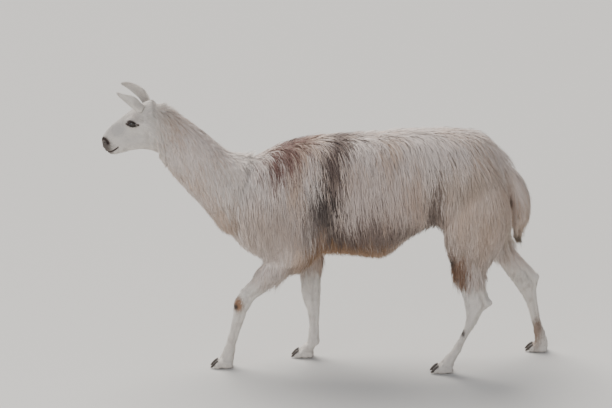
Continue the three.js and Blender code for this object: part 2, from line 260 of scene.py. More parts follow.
def drawn_in(piece, rounds, extra=0.0, near_cut=None):
    """Smooths a melted surface and draws it in by the coat's depth, or by less where it is thin. Near a
    cutting plane it follows the whole body's normals and goes deeper, so the cut end is buried."""
    around = Neighbours(piece)
    places = around.relaxed(places_of(piece), rounds)
    set_places(piece, places)
    inward = -unit(around.blurred(normals_of(piece), rounds))
    own_faces = [list(face.vertices) for face in piece.data.polygons]
    own_tree = BVHTree.FromPolygons([Vector(place) for place in places], own_faces)
    hits = [own_tree.ray_cast(Vector(p + 0.001 * n), Vector(n), THICKEST)[3] for p, n in zip(places, inward)]
    thickness = np.array([THICKEST if hit is None else hit for hit in hits])
    depth = np.minimum(coat_depth_at(places), around.blurred(THICKNESS_SHARE * thickness, 3)) + extra
    fleeced = ramp(depth, 0.004, 0.016)[:, None]
    places += fleeced * (around.blurred(places, rounds) - places)
    set_places(piece, places)
    normals = unit(around.blurred(normals_of(piece), rounds))
    if near_cut:
        share = near_cut(places)
        buried = np.nonzero(share > 0)[0]
        nearest = [coarse_tree.find(Vector(places[index]))[1] for index in buried]
        body_normals = np.array([coarse_normals[index] for index in nearest])
        normals[buried] += share[buried, None] * (body_normals - normals[buried])
        depth += BURIED_DEPTH * share
    places = places - depth[:, None] * normals
    places += fleeced * (around.blurred(places, rounds) - places)
    set_places(piece, places)


def fine_share(places):
    """1 where the finer skins of head and legs take over from the coarse one."""
    return np.maximum(ramp(places[:, 0], -0.778, -0.82), ramp(places[:, 2], 0.480, 0.445))


def along_line(places, points, axes=(0, 1, 2)):
    """Distance from places to a broken line, measured along the given axes only."""
    away = np.full(len(places), np.inf)
    chosen = places[:, axes]
    for begin, finish in zip(points[:-1], points[1:]):
        begin, span = np.array(begin), np.array(finish) - np.array(begin)
        share = np.clip(((chosen - begin) @ span) / (span @ span), 0, 1)
        away = np.minimum(away, np.linalg.norm(chosen - begin - share[:, None] * span, axis=1))
    return away


def soft(distance, reach):
    return np.exp(-((distance / reach) ** 2))


# The outline of the eye between the lids: its outward direction, its long axis from front to back
# corner, its downward direction, and its heights. It places the folds, rims, margins and lashes.
def eye_axes(side):
    gaze = unit(np.array([-0.30, side * 0.94, 0.10]))
    long_axis = np.array([0.056, 0, -0.010])
    long_axis = unit(long_axis - gaze * (long_axis @ gaze))
    return gaze, long_axis, np.cross(long_axis, gaze) * -side


EYE_HALF_LENGTH = 0.0205
EYE_BELOW = 0.0094
EYE_ABOVE = 0.0130
CORNER_DROP = 0.0012


def eye_place(side):
    return np.array([EYE_CENTRE[0], side * EYE_CENTRE[1], EYE_CENTRE[2]])


def eye_curve(side, radius, grow=0.0, count=64):
    """Points round the outline between the lids, on a ball about the eye's centre."""
    gaze, long_axis, downward = eye_axes(side)
    turn = np.arange(count) * 2 * math.pi / count
    u = (EYE_HALF_LENGTH + 1.6 * grow) * np.cos(turn)
    v = np.where(np.sin(turn) > 0, EYE_BELOW + grow, EYE_ABOVE + grow) * np.sin(turn)
    v += CORNER_DROP * np.cos(turn) ** 2
    w = np.sqrt(np.maximum(radius ** 2 - u ** 2 - v ** 2, 0))
    return eye_place(side) + w[:, None] * gaze + u[:, None] * long_axis + v[:, None] * downward


# Forms pressed into the face: centre, reach along x, y and z, and how far the surface moves out.
# Then the lines of its slits and creases, in space or as seen from the side (x, z), and the rings of
# folds round the lids: how far out, how far the surface moves, and reach.
FACE_FORMS = {
    "brow": ((-0.920, 0.060, 1.203), (0.028, 0.016, 0.008), 0.0034),
    "brow_front": ((-0.948, 0.044, 1.190), (0.014, 0.014, 0.010), 0.0018),
    "hollow_before_eye": ((-0.962, 0.044, 1.163), (0.017, 0.022, 0.014), -0.0034),
    "temple": ((-0.866, 0.056, 1.200), (0.018, 0.022, 0.015), -0.0036),
    "cheekbone": ((-0.902, 0.064, 1.136), (0.042, 0.022, 0.009), 0.0030),
    "below_cheekbone": ((-0.948, 0.042, 1.108), (0.034, 0.022, 0.013), -0.0026),
    "jaw_muscle": ((-0.872, 0.060, 1.092), (0.032, 0.022, 0.030), 0.0034),
    "jaw_back": ((-0.834, 0.062, 1.105), (0.010, 0.022, 0.045), -0.0034),
    "jaw_edge": ((-0.930, 0.030, 1.046), (0.050, 0.012, 0.006), 0.0014),
    "lip_pad": ((-1.040, 0.024, 1.060), (0.016, 0.014, 0.014), 0.0032),
    "nostril_wing": ((-1.040, 0.030, 1.103), (0.013, 0.014, 0.007), 0.0022),
    "nostril_back": ((-1.022, 0.032, 1.085), (0.008, 0.014, 0.012), 0.0016),
    "chin": ((-1.010, 0.008, 1.020), (0.014, 0.016, 0.010), 0.0030),
    "chin_back": ((-0.984, 0.008, 1.026), (0.010, 0.018, 0.010), -0.0016),
    "forelock_base": ((-0.868, 0.018, 1.262), (0.020, 0.022, 0.016), 0.0018),
}
NOSTRIL_SLIT = [
    (-1.0585, 0.0125, 1.0905), (-1.0530, 0.0195, 1.0985), (-1.0430, 0.0270, 1.0965),
    (-1.0345, 0.0300, 1.0860), (-1.0300, 0.0310, 1.0780),
]
MOUTH_LINE = [
    (-0.9840, 1.0580), (-0.9960, 1.0480), (-1.0080, 1.0400),
    (-1.0200, 1.0355), (-1.0340, 1.0335), (-1.0480, 1.0320),
]
MOUTH_CREASES = [
    [(-0.9815, 1.0690), (-0.9770, 1.0580), (-0.9790, 1.0480)],
    [(-0.9740, 1.0700), (-0.9690, 1.0580), (-0.9720, 1.0460)],
]
EYE_CORNERS = [[(-0.930, 1.1775), (-0.940, 1.1745)], [(-0.896, 1.1720), (-0.885, 1.1690)]]
NASAL_GROOVE = [(-0.962, 0.044, 1.150), (-0.995, 0.036, 1.128), (-1.022, 0.030, 1.108)]
LID_FOLDS = [
    (0.0026, 0.0009, 0.0018),
    (0.0062, -0.0012, 0.0016),
    (0.0095, 0.0008, 0.0020),
    (0.0125, -0.0007, 0.0018),
]


def folded(places):
    """The same places on the animal's right side (y made positive), for forms alike on both sides."""
    return np.stack([places[:, 0], np.abs(places[:, 1]), places[:, 2]], axis=-1)


def face_relief(places):
    """How far the face's surface stands out at each place, from its forms, folds and slits."""
    half = folded(places)
    out = np.zeros(len(places))
    for centre, reach, amount in FACE_FORMS.values():
        out += amount * np.exp(-(((half - centre) / reach) ** 2).sum(axis=1))
    front = ramp(half[:, 0], -0.965, -0.975)
    out -= 0.0075 * soft(along_line(half, NOSTRIL_SLIT), 0.0028)
    out += 0.0016 * soft(along_line(half, NOSTRIL_SLIT) - 0.0068, 0.0035)
    mouth = along_line(half, MOUTH_LINE, (0, 2))
    out += front * (0.0018 * soft(mouth - 0.0070, 0.0040) - 0.0046 * soft(mouth, 0.0021))
    for crease in MOUTH_CREASES:
        out -= 0.0010 * soft(along_line(half, crease, (0, 2)), 0.0018) * ramp(half[:, 1], 0.012, 0.020)
    out -= 0.0018 * soft(along_line(half, NASAL_GROOVE), 0.008)
    cleft = ramp(half[:, 0], -1.030, -1.045) * ramp(half[:, 2], 1.086, 1.078)
    out -= 0.0030 * cleft * soft(half[:, 1], 0.0020)
    for out_from_lid, amount, reach in LID_FOLDS:
        ring = eye_curve(1, EYE_RADIUS + LID_THICKNESS, out_from_lid)
        out += amount * soft(along_line(half, list(ring) + [ring[0]]), reach)
    return out


coarse_normals = unit(Neighbours(skin).blurred(normals_of(skin), 5))
drawn_in(legs, 5, near_cut=lambda places: ramp(places[:, 2], LEG_CUT - 0.026, LEG_CUT - 0.006))
drawn_in(head, 5, near_cut=lambda places: ramp(places[:, 0], NECK_CUT - 0.026, NECK_CUT - 0.006))
drawn_in(ears, 6, extra=-0.0019)
drawn_in(skin, 5, extra=BURIED_DEPTH * fine_share(coarse_places))

# Finer faces round the eyes and over the muzzle before the face is shaped.
active(head)
head_places = places_of(head)
by_eye = np.linalg.norm(folded(head_places) - eye_place(1), axis=1) < 0.038
muzzle = head_places[:, 0] < -0.968
bpy.ops.object.mode_set(mode="EDIT")
bpy.ops.mesh.select_mode(type="VERT")
bpy.ops.mesh.select_all(action="DESELECT")
bpy.ops.object.mode_set(mode="OBJECT")
head.data.vertices.foreach_set("select", by_eye | muzzle)
bpy.ops.object.mode_set(mode="EDIT")
bpy.ops.mesh.subdivide(number_cuts=1)
bpy.ops.object.mode_set(mode="OBJECT")
head_around = Neighbours(head)
head_places = places_of(head)
from_eye = np.linalg.norm(folded(head_places) - eye_place(1), axis=1)
fresh = np.maximum(ramp(head_places[:, 0], -0.96, -0.98), soft(from_eye, 0.035))
head_places += fresh[:, None] * (head_around.relaxed(head_places, 2) - head_places)
set_places(head, head_places)
head_normals = unit(head_around.blurred(normals_of(head), 3))
set_places(head, head_places + face_relief(head_places)[:, None] * head_normals)

# The furrow in front of each leg's back tendon, and the bony joints, as seen from the side (x, z).
# The waves are the skin's slight unevenness: their direction and closeness, and their height.
TENDON_FURROWS = [
    [(-0.256, 0.483), (-0.325, 0.405), (-0.382, 0.354), (-0.404, 0.311),
     (-0.418, 0.266), (-0.438, 0.194), (-0.456, 0.136)],
    [(-0.076, 0.503), (-0.076, 0.345), (-0.077, 0.286), (-0.070, 0.229), (-0.068, 0.112)],
    [(0.664, 0.470), (0.681, 0.421), (0.702, 0.365), (0.716, 0.329),
     (0.688, 0.290), (0.666, 0.234), (0.634, 0.175), (0.604, 0.117)],
    [(0.830, 0.530), (0.888, 0.462), (0.938, 0.404), (0.981, 0.351),
     (0.981, 0.288), (0.993, 0.218), (1.012, 0.143)],
]
LEG_BONES = [
    ((-0.428, 0.318), (0.026, 0.026), 0.0050), ((-0.084, 0.290), (0.026, 0.026), 0.0045),
    ((0.744, 0.338), (0.020, 0.018), 0.0050), ((0.672, 0.300), (0.020, 0.022), 0.0040),
    ((0.996, 0.376), (0.020, 0.020), 0.0060), ((0.950, 0.318), (0.020, 0.022), 0.0040),
    ((-0.450, 0.088), (0.022, 0.018), 0.0040), ((-0.060, 0.076), (0.022, 0.016), 0.0040),
    ((0.600, 0.108), (0.022, 0.018), 0.0040), ((1.022, 0.096), (0.022, 0.018), 0.0040),
    ((0.700, 0.262), (0.014, 0.014), -0.0030), ((-0.388, 0.278), (0.014, 0.012), -0.0028),
]
LEG_WAVES = [
    ((95, 140, 60), 0.0009),
    ((-150, 90, 130), 0.0007),
    ((210, -160, 45), 0.0006),
    ((60, 240, -110), 0.0005),
]
legs_around = Neighbours(legs)
leg_places = places_of(legs)
leg_normals = unit(legs_around.blurred(normals_of(legs), 3))
bare_leg = ramp(leg_places[:, 2], 0.50, 0.42)
upright = leg_places * np.array([1.0, 1.0, 0.45])
unevenness = np.zeros(len(leg_places))
for wave, amount in LEG_WAVES:
    wave = np.array(wave)
    unevenness += amount * np.sin(upright @ wave + 2.1 * np.sin(upright @ wave[[1, 2, 0]] * 0.4))
furrow = np.minimum.reduce([along_line(leg_places, line, (0, 2)) for line in TENDON_FURROWS])
leg_relief = bare_leg * unevenness + ramp(leg_places[:, 2], 0.10, 0.13) * (
    0.0016 * soft(furrow - 0.015, 0.008) - 0.0040 * soft(furrow, 0.0075))
for centre, reach, amount in LEG_BONES:
    leg_relief += amount * np.exp(-(((leg_places[:, (0, 2)] - centre) / reach) ** 2).sum(axis=1))
set_places(legs, leg_places + leg_relief[:, None] * leg_normals)

# The ears' roots widen and reach down into the head. The flare is for the left ear and the right.
EAR_SINK = 0.024
EAR_FLARE = {-1: 0.42, 1: 0.15}
ear_places = places_of(ears)
for side in (-1, 1):
    mine = np.nonzero(ear_places[:, 1] * side > 0)[0]
    tip = ear_places[mine][np.argmin(ear_places[mine, 0])]
    root = ear_places[mine][np.argmax(ear_places[mine, 0])]
    axis = unit(tip - root)
    along = (ear_places[mine] - root) @ axis
    low = ramp(along, 0.052, 0.004)[:, None]
    flare = EAR_FLARE[side] * ramp(along, 0.100, 0.030)[:, None]
    spine_line = root + along[:, None] * axis
    spine_line += ear_places[mine].mean(axis=0) - spine_line.mean(axis=0)
    ear_places[mine] += flare * (ear_places[mine] - spine_line)
    ear_places[mine] += EAR_SINK * low * unit(np.array([0.10, -0.45 * side, -1.0]))
set_places(ears, ear_places)

for part in (legs, head, ears):
    apply_modifier(skin, "BOOLEAN", operation="UNION", solver="MANIFOLD", object=part)
    bpy.data.objects.remove(part)

# The fleeced parts need fewer faces than the face and legs. Thinning leaves a few edges open, and the
# skin stays closed over the eyes: it lies at the globe's radius there, and the cornea stands out of it.
FACES_LEFT = 0.62
THINNING_LEVELS = 8
under_fleece = skin.vertex_groups.new(name="under_fleece")
skin_places = places_of(skin)
thinning = 0.15 + 0.85 * ramp(skin_places[:, 0], -0.84, -0.76) * ramp(skin_places[:, 2], 0.42, 0.52)
for level in range(THINNING_LEVELS):
    members = np.nonzero(np.floor(thinning * (THINNING_LEVELS - 0.001)) == level)[0].tolist()
    under_fleece.add(members, (level + 0.5) / THINNING_LEVELS, "REPLACE")
apply_modifier(skin, "DECIMATE", ratio=FACES_LEFT, vertex_group="under_fleece")

active(skin)
bpy.ops.object.shade_smooth()
skin_places = places_of(skin)
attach(skin, "root")
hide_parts(*flesh_names)

# An unwrap of the skin's own shape, which the coat's locks share by where they are rooted.
active(skin)
skin.data.uv_layers.new(name="OFBake")
bpy.ops.object.mode_set(mode="EDIT")
bpy.ops.mesh.select_all(action="SELECT")
bpy.ops.uv.smart_project(angle_limit=math.radians(66), island_margin=0.002)
bpy.ops.object.mode_set(mode="OBJECT")

# Which part of the body each place on the skin belongs to, and which way the coat lies there.
skin_neighbours = Neighbours(skin)
skin_normals = unit(skin_neighbours.blurred(normals_of(skin), 3))
skin_part = np.array([flesh_of_face[flesh_tree.find_nearest(Vector(place))[2]] for place in skin_places])
part_words = {}
for word in ("head", "ear_left", "ear_right", "neck", "trunk", "tail", "shoulder", "thigh", "shank", "foot"):
    part_words[word] = np.isin(skin_part, [i for i, name in enumerate(flesh_names) if word in name])
LIE_OF_PART = {
    "head": (1.0, 0, -0.10),
    "ear_left": (-0.85, 0, 0.50),
    "ear_right": (-0.80, 0, 0.60),
    "neck": (0.42, 0, -0.90),
    "trunk": (0.16, 0, -1.0),
    "tail": (0.10, 0, -1.0),
    "shoulder": (0.00, 0, -1.0),
    "thigh": (0.10, 0, -1.0),
    "shank": (0.0, 0, -1.0),
    "foot": (-0.35, 0, -1.0),
}
lie = np.zeros_like(skin_places)
for word, direction in LIE_OF_PART.items():
    lie[part_words[word]] = direction

# Along the back the coat parts to both sides and lies backwards, and it lies up towards the poll.
upper = ramp(skin_normals[:, 2], 0.1, 0.9) * ramp(skin_places[:, 2], 0.75, 0.85)
upper *= ramp(skin_places[:, 0], -0.80, -0.74)
lie[:, 1] += 1.6 * upper * np.clip(skin_places[:, 1] / 0.05, -1, 1)
lie[:, 0] += upper * (0.25 + 0.55 * ramp(skin_places[:, 0], 0.25, 0.70))
lie[:, 0] += 0.35 * ramp(skin_places[:, 0], 0.45, 0.75) * part_words["trunk"]
lie[:, 2] += 0.35 * part_words["head"] * ramp(skin_places[:, 2], 1.17, 1.25)


def on_surface(vectors, normals):
    return unit(vectors - (vectors * normals).sum(axis=1, keepdims=True) * normals)


lie = on_surface(lie, skin_normals)
for _ in range(5):
    lie = on_surface(skin_neighbours.blurred(lie, 4), skin_normals)


def put_attribute(piece, name, kind, values):
    field = {"FLOAT": "value", "FLOAT_VECTOR": "vector", "FLOAT2": "vector"}[kind]
    layer = piece.data.attributes.new(name, kind, "POINT")
    layer.data.foreach_set(field, values.astype(np.float32).ravel())


def leather_at(places):
    """How bare and dark the skin is: nose, lips, eye rims, and the snout front, partly painted shade."""
    half = folded(places)
    nose = soft(along_line(half, NOSTRIL_SLIT), 0.0105)
    lips = soft(along_line(half, MOUTH_LINE, (0, 2)), 0.0048) * ramp(half[:, 0], -0.974, -0.984)
    # The snout's front below the nostrils: partly dark skin, partly painted shade.
    snout = 0.42 * ramp(half[:, 0], -1.018, -1.046) * ramp(half[:, 2], 1.098, 1.074)
    ring = eye_curve(1, EYE_RADIUS + LID_THICKNESS)
    rims = soft(along_line(half, list(ring) + [ring[0]]), 0.0062)
    for eye_corner in EYE_CORNERS:
        corner_mark = soft(along_line(half, eye_corner, (0, 2)), 0.0052) * ramp(half[:, 1], 0.030, 0.040)
        rims = np.maximum(rims, corner_mark)
    return np.clip(np.maximum.reduce([nose * 1.3, lips * 1.1, snout, rims * 1.5]), 0, 1)


skin_leather = leather_at(skin_places)
put_attribute(skin, "lie", "FLOAT_VECTOR", lie)
put_attribute(skin, "leather", "FLOAT", skin_leather)


class Nodes:
    """A node tree with short ways to add a node and feed its sockets, by name or as i and a number."""

    def __init__(self, tree):
        self.tree = tree

    def add(self, kind, settings=None, **sockets):
        node = self.tree.nodes.new(kind)
        for setting, value in (settings or {}).items():
            setattr(node, setting, value)
        for label, value in sockets.items():
            numbered = label[0] == "i" and label[1:].isdigit()
            socket = node.inputs[int(label[1:]) if numbered else label]
            if isinstance(value, bpy.types.NodeSocket):
                self.tree.links.new(value, socket)
            else:
                socket.default_value = value
        return node

    def noise(self, place, scale, detail, coloured=False):
        node = self.add("ShaderNodeTexNoise", None, Vector=place, Scale=scale, Detail=detail)
        return node.outputs[1 if coloured else 0]

    def ramped(self, value, low, high, to_low=0.0, to_high=1.0):
        eased = {"interpolation_type": "SMOOTHSTEP"}
        node = self.add("ShaderNodeMapRange", eased, i0=value, i1=low, i2=high, i3=to_low, i4=to_high)
        return node.outputs[0]

    def maths(self, operation, first, second):
        return self.add("ShaderNodeMath", {"operation": operation}, i0=first, i1=second).outputs[0]

    def mixed(self, share, first, second):
        return self.add("ShaderNodeMix", {"data_type": "RGBA"}, i0=share, i6=first, i7=second).outputs[2]

    def vector(self, operation, first, second):
        return self.add("ShaderNodeVectorMath", {"operation": operation}, i0=first, i1=second).outputs[0]

    def dot(self, first, second):
        return self.add("ShaderNodeVectorMath", {"operation": "DOT_PRODUCT"}, i0=first, i1=second).outputs[1]

    def length(self, value):
        return self.add("ShaderNodeVectorMath", {"operation": "LENGTH"}, i0=value).outputs[1]

    def scaled(self, value, scale):
        return self.add("ShaderNodeVectorMath", {"operation": "SCALE"}, i0=value, Scale=scale).outputs[0]

    def combined(self, *parts):
        inputs = {f"i{index}": part for index, part in enumerate(parts)}
        return self.add("ShaderNodeCombineXYZ", None, **inputs).outputs[0]

    def split(self, value):
        return self.add("ShaderNodeSeparateXYZ", None, i0=value).outputs

    def attribute(self, name, output="Vector"):
        return self.add("ShaderNodeAttribute", {"attribute_name": name}).outputs[output]


# The coat's colours: cream wool with warm and grey drifts, white face and legs, and soft-edged patches
# (centre, reach, colour, strength). Most patches are the coat's own markings; those marked below are
# painted shade, in whole or in part. A y reach of 0.9 m lets a patch show alike on both sides. The
# larger patches have a wandering edge, and each lock's own variation makes every edge ragged.
WHITE = (0.86, 0.82, 0.76, 1)
LEG_SOIL = (0.47, 0.415, 0.365, 1)
CREAM = (0.91, 0.800, 0.735, 1)
WARM = (0.68, 0.510, 0.405, 1)
GREY = (0.36, 0.300, 0.260, 1)
SMALL_PATCH = 0.05
COAT_PATCHES_AND_SHADE = [
    # Flank: the wool's pinkish-beige tone, darkened further by painted shade over the lower side.
    ((0.220, -0.20, 0.880), (0.300, 0.9, 0.160), (0.560, 0.435, 0.380, 1), 0.58),
    ((0.560, -0.20, 0.960), (0.160, 0.9, 0.090), (0.600, 0.480, 0.400, 1), 0.45),
    ((-0.470, -0.15, 1.000), (0.090, 0.9, 0.150), (0.950, 0.880, 0.820, 1), 0.60),
    ((-0.265, -0.20, 1.062), (0.098, 0.9, 0.085), (0.180, 0.074, 0.056, 1), 0.92),
    ((-0.175, -0.20, 1.090), (0.055, 0.9, 0.055), (0.230, 0.115, 0.088, 1), 0.70),
    ((-0.015, -0.20, 1.090), (0.062, 0.9, 0.085), (0.105, 0.062, 0.050, 1), 0.86),
    ((0.000, -0.20, 0.980), (0.055, 0.9, 0.095), (0.115, 0.074, 0.062, 1), 0.80),
    ((-0.050, -0.20, 0.860), (0.078, 0.9, 0.120), (0.045, 0.033, 0.030, 1), 0.94),
    ((-0.005, -0.19, 0.735), (0.100, 0.9, 0.070), (0.070, 0.048, 0.039, 1), 0.90),
    ((0.080, -0.17, 0.710), (0.110, 0.9, 0.060), (0.160, 0.110, 0.086, 1), 0.72),
    # Lower flank: brownish-grey wool, darkened further by painted shade.
    ((0.200, -0.17, 0.745), (0.200, 0.9, 0.090), (0.180, 0.125, 0.105, 1), 0.80),
    ((-0.062, -0.19, 0.740), (0.030, 0.9, 0.075), (0.350, 0.225, 0.155, 1), 0.75),
    ((-0.060, -0.14, 0.645), (0.060, 0.9, 0.060), (0.330, 0.185, 0.095, 1), 0.80),
    ((0.020, -0.14, 0.655), (0.090, 0.9, 0.066), (0.380, 0.220, 0.120, 1), 0.80),
    ((0.130, -0.12, 0.628), (0.250, 0.9, 0.076), (0.380, 0.215, 0.115, 1), 0.94),
    # The fold between flank and thigh: painted shade, darkest deep in the groin.
    ((0.470, -0.19, 0.850), (0.044, 0.9, 0.170), (0.120, 0.082, 0.066, 1), 0.82),
    ((0.465, -0.10, 0.700), (0.070, 0.9, 0.060), (0.034, 0.023, 0.018, 1), 0.90),
    ((0.590, -0.19, 0.575), (0.062, 0.9, 0.100), (0.215, 0.095, 0.038, 1), 0.90),
    ((0.560, -0.19, 0.610), (0.022, 0.9, 0.030), (0.016, 0.011, 0.009, 1), 0.95),
    ((-0.432, -0.13, 0.325), (0.026, 0.045, 0.040), (0.270, 0.120, 0.045, 1), 0.95),
    ((-0.444, -0.13, 0.312), (0.012, 0.035, 0.015), (0.025, 0.016, 0.012, 1), 0.95),
    ((0.930, 0.00, 0.780), (0.036, 0.9, 0.060), (0.620, 0.400, 0.220, 1), 0.60),
    ((0.880, 0.00, 0.660), (0.070, 0.9, 0.070), (0.840, 0.700, 0.560, 1), 0.95),
    ((1.000, 0.15, 0.100), (0.036, 0.12, 0.075), (0.190, 0.095, 0.050, 1), 0.80),
    ((0.620, -0.17, 0.199), (0.010, 0.06, 0.020), (0.020, 0.016, 0.014, 1), 0.90),
    # Thigh: the wool's pinkish-beige tone, darkened further by painted shade over its side.
    ((0.690, -0.18, 0.800), (0.150, 0.9, 0.180), (0.600, 0.440, 0.340, 1), 0.55),
    ((-0.330, -0.20, 0.760), (0.110, 0.9, 0.120), (0.560, 0.420, 0.330, 1), 0.45),
    # Shoulder's lower part: grey-brown streaks, darkened further by painted shade.
    ((-0.200, -0.20, 0.800), (0.150, 0.9, 0.120), (0.440, 0.350, 0.310, 1), 0.45),
    ((0.620, -0.15, 0.980), (0.120, 0.9, 0.070), (0.540, 0.420, 0.330, 1), 0.45),
    # Muzzle front between nostrils and chin: dark grey skin, made darker by painted shade.
    ((-1.048, 0.00, 1.054), (0.040, 0.9, 0.040), (0.060, 0.047, 0.042, 1), 0.90),
    ((-1.034, 0.00, 1.026), (0.030, 0.9, 0.018), (0.130, 0.105, 0.095, 1), 0.75),
    # Face and poll: painted shade on the nose below the eyes, over the eyes, in the cheek hollow and behind
    # the ears.
    ((-0.988, 0.00, 1.140), (0.040, 0.9, 0.034), (0.500, 0.480, 0.475, 1), 0.50),
    ((-0.905, 0.00, 1.195), (0.036, 0.9, 0.020), (0.560, 0.500, 0.460, 1), 0.50),
    ((-0.900, 0.00, 1.095), (0.060, 0.9, 0.034), (0.610, 0.580, 0.560, 1), 0.50),
    ((-0.832, 0.00, 1.190), (0.030, 0.9, 0.060), (0.560, 0.500, 0.450, 1), 0.45),
]
coat_markings_and_shade = bpy.data.node_groups.new("coat_markings_and_shade", "ShaderNodeTree")
coat_markings_and_shade.interface.new_socket("Place", in_out="INPUT", socket_type="NodeSocketVector")
coat_markings_and_shade.interface.new_socket("Variation", in_out="INPUT", socket_type="NodeSocketFloat")
coat_markings_and_shade.interface.new_socket("Colour", in_out="OUTPUT", socket_type="NodeSocketColor")
marks_and_shade = Nodes(coat_markings_and_shade)
marks_in = marks_and_shade.add("NodeGroupInput")
marks_out = marks_and_shade.add("NodeGroupOutput")
place = marks_in.outputs["Place"]
streaky = marks_and_shade.vector("MULTIPLY", place, (1.0, 1.0, 0.35))
jitter = marks_and_shade.maths("SUBTRACT", marks_in.outputs["Variation"], 0.5)
drift = marks_and_shade.noise(marks_and_shade.vector("MULTIPLY", place, (1.0, 1.0, 0.45)), 9.0, 3.0)
drift = marks_and_shade.maths("ADD", drift, marks_and_shade.maths("MULTIPLY", jitter, 0.30))
shade = marks_and_shade.noise(marks_and_shade.vector("ADD", streaky, (3.1, 1.7, 0.4)), 26.0, 2.0)
shade = marks_and_shade.maths("ADD", shade, marks_and_shade.maths("MULTIPLY", jitter, 0.42))
colour = marks_and_shade.mixed(marks_and_shade.ramped(drift, 0.40, 0.74), CREAM, WARM)
forward, _, height = marks_and_shade.split(place)
ragged_forward = marks_and_shade.maths("ADD", forward, marks_and_shade.maths("MULTIPLY", jitter, 0.05))
on_face = marks_and_shade.ramped(ragged_forward, -0.700, -0.860)
lower = marks_and_shade.ramped(height, 1.12, 0.70, 0.12, 1.0)
above_knee = marks_and_shade.ramped(height, 0.42, 0.56)
before_tail = marks_and_shade.ramped(forward, 0.86, 0.78)
low_on_body = marks_and_shade.maths("MULTIPLY", lower, above_knee)
grey_share = marks_and_shade.maths("MULTIPLY", marks_and_shade.ramped(shade, 0.52, 0.80), low_on_body)
grey_share = marks_and_shade.maths("MULTIPLY", grey_share, before_tail)
colour = marks_and_shade.mixed(marks_and_shade.maths("MULTIPLY", grey_share, 0.75), colour, GREY)
mottle = marks_and_shade.noise(marks_and_shade.vector("MULTIPLY", place, (1.0, 1.0, 0.55)), 46.0, 4.0)
soiled = marks_and_shade.mixed(marks_and_shade.ramped(mottle, 0.50, 0.78, 0.0, 0.62), WHITE, LEG_SOIL)
whitened = marks_and_shade.maths("MAXIMUM", on_face, marks_and_shade.ramped(height, 0.50, 0.38))
colour = marks_and_shade.mixed(marks_and_shade.maths("MULTIPLY", whitened, 0.85), colour, soiled)
wobble = marks_and_shade.vector("SUBTRACT", marks_and_shade.noise(streaky, 22.0, 3.0, coloured=True), (0.5, 0.5, 0.5))
wobbled = marks_and_shade.vector("ADD", place, marks_and_shade.vector("MULTIPLY", wobble, (0.075, 0.0, 0.11)))
# Each patch is mixed over the colour: the coat's markings and the painted shade alike.
for centre, reach, patch_colour, strength in COAT_PATCHES_AND_SHADE:
    from_centre = marks_and_shade.vector("SUBTRACT", wobbled if reach[2] > SMALL_PATCH else place, centre)
    away = marks_and_shade.length(marks_and_shade.vector("DIVIDE", from_centre, reach))
    away = marks_and_shade.maths("ADD", away, marks_and_shade.maths("MULTIPLY", jitter, 0.95))
    share = marks_and_shade.ramped(away, 1.40, 0.45, 0.0, strength)
    colour = marks_and_shade.mixed(share, colour, patch_colour)
coat_markings_and_shade.links.new(colour, marks_out.inputs["Colour"])


def new_material(name):
    material = bpy.data.materials.new(name)
    material.use_nodes = True
    surface = material.node_tree.nodes["Principled BSDF"]
    return material, Nodes(material.node_tree), surface


# Short hair: fine streaks drawn out along the way the coat lies.
short_hair, hair, hair_surface = new_material("llama_short_hair")
place = hair.add("ShaderNodeTexCoord").outputs["Object"]
lie_value = hair.attribute("lie")
leather = hair.attribute("leather", "Fac")
back_along = hair.scaled(lie_value, hair.maths("MULTIPLY", hair.dot(place, lie_value), -0.86))
combed = hair.vector("ADD", place, back_along)
streaks = hair.noise(combed, 620.0, 3.0)
coarse_streaks = hair.noise(combed, 170.0, 2.0)
markings_and_shade = hair.add("ShaderNodeGroup", {"node_tree": coat_markings_and_shade}, Place=place, Variation=coarse_streaks)
streak_share = hair.ramped(streaks, 0.30, 0.75, 0.24, 0.0)
tint = hair.mixed(streak_share, markings_and_shade.outputs["Colour"], (0.40, 0.33, 0.27, 1))
leather_colour = hair.mixed(hair.noise(place, 240.0, 3.0), (0.028, 0.020, 0.018, 1), (0.075, 0.052, 0.044, 1))
tint = hair.mixed(leather, tint, leather_colour)
short_hair.node_tree.links.new(tint, hair_surface.inputs["Base Color"])
hair_surface.inputs["Roughness"].default_value = 0.72
hair_surface.inputs["Specular IOR Level"].default_value = 0.3
pores = hair.noise(place, 900.0, 2.0)
hair_relief = hair.maths("MULTIPLY", streaks, hair.maths("SUBTRACT", 1.0, leather))
leather_relief = hair.maths("MULTIPLY", pores, hair.maths("MULTIPLY", leather, 0.6))
relief = hair.maths("ADD", hair_relief, leather_relief)
bump = hair.add("ShaderNodeBump", None, Strength=0.75, Distance=0.0018, Height=relief)
short_hair.node_tree.links.new(bump.outputs[0], hair_surface.inputs["Normal"])
skin.data.materials.clear()
skin.data.materials.append(short_hair)

# ---- Fleece ------------------------------------------------------------------------------------
# Long silky locks over trunk, shoulders, thighs, neck and tail, each a thin tapering strand rooted
# in the skin. They fall from the spine down both sides and overlap like thatch.
skin.data.calc_loop_triangles()
triangle_count = len(skin.data.loop_triangles)
triangles = np.empty(triangle_count * 3, dtype=np.int64)
skin.data.loop_triangles.foreach_get("vertices", triangles)
triangles = triangles.reshape(-1, 3)
triangle_loops = np.empty(triangle_count * 3, dtype=np.int64)
skin.data.loop_triangles.foreach_get("loops", triangle_loops)
triangle_loops = triangle_loops.reshape(-1, 3)
skin_uv = np.empty(len(skin.data.loops) * 2, dtype=np.float32)
skin.data.uv_layers["OFBake"].data.foreach_get("uv", skin_uv)
triangle_uv = skin_uv.reshape(-1, 2)[triangle_loops]
skin_tree = BVHTree.FromPolygons([Vector(place) for place in skin_places], triangles.tolist())
corners = skin_places[triangles]
first_edge, second_edge = corners[:, 1] - corners[:, 0], corners[:, 2] - corners[:, 0]
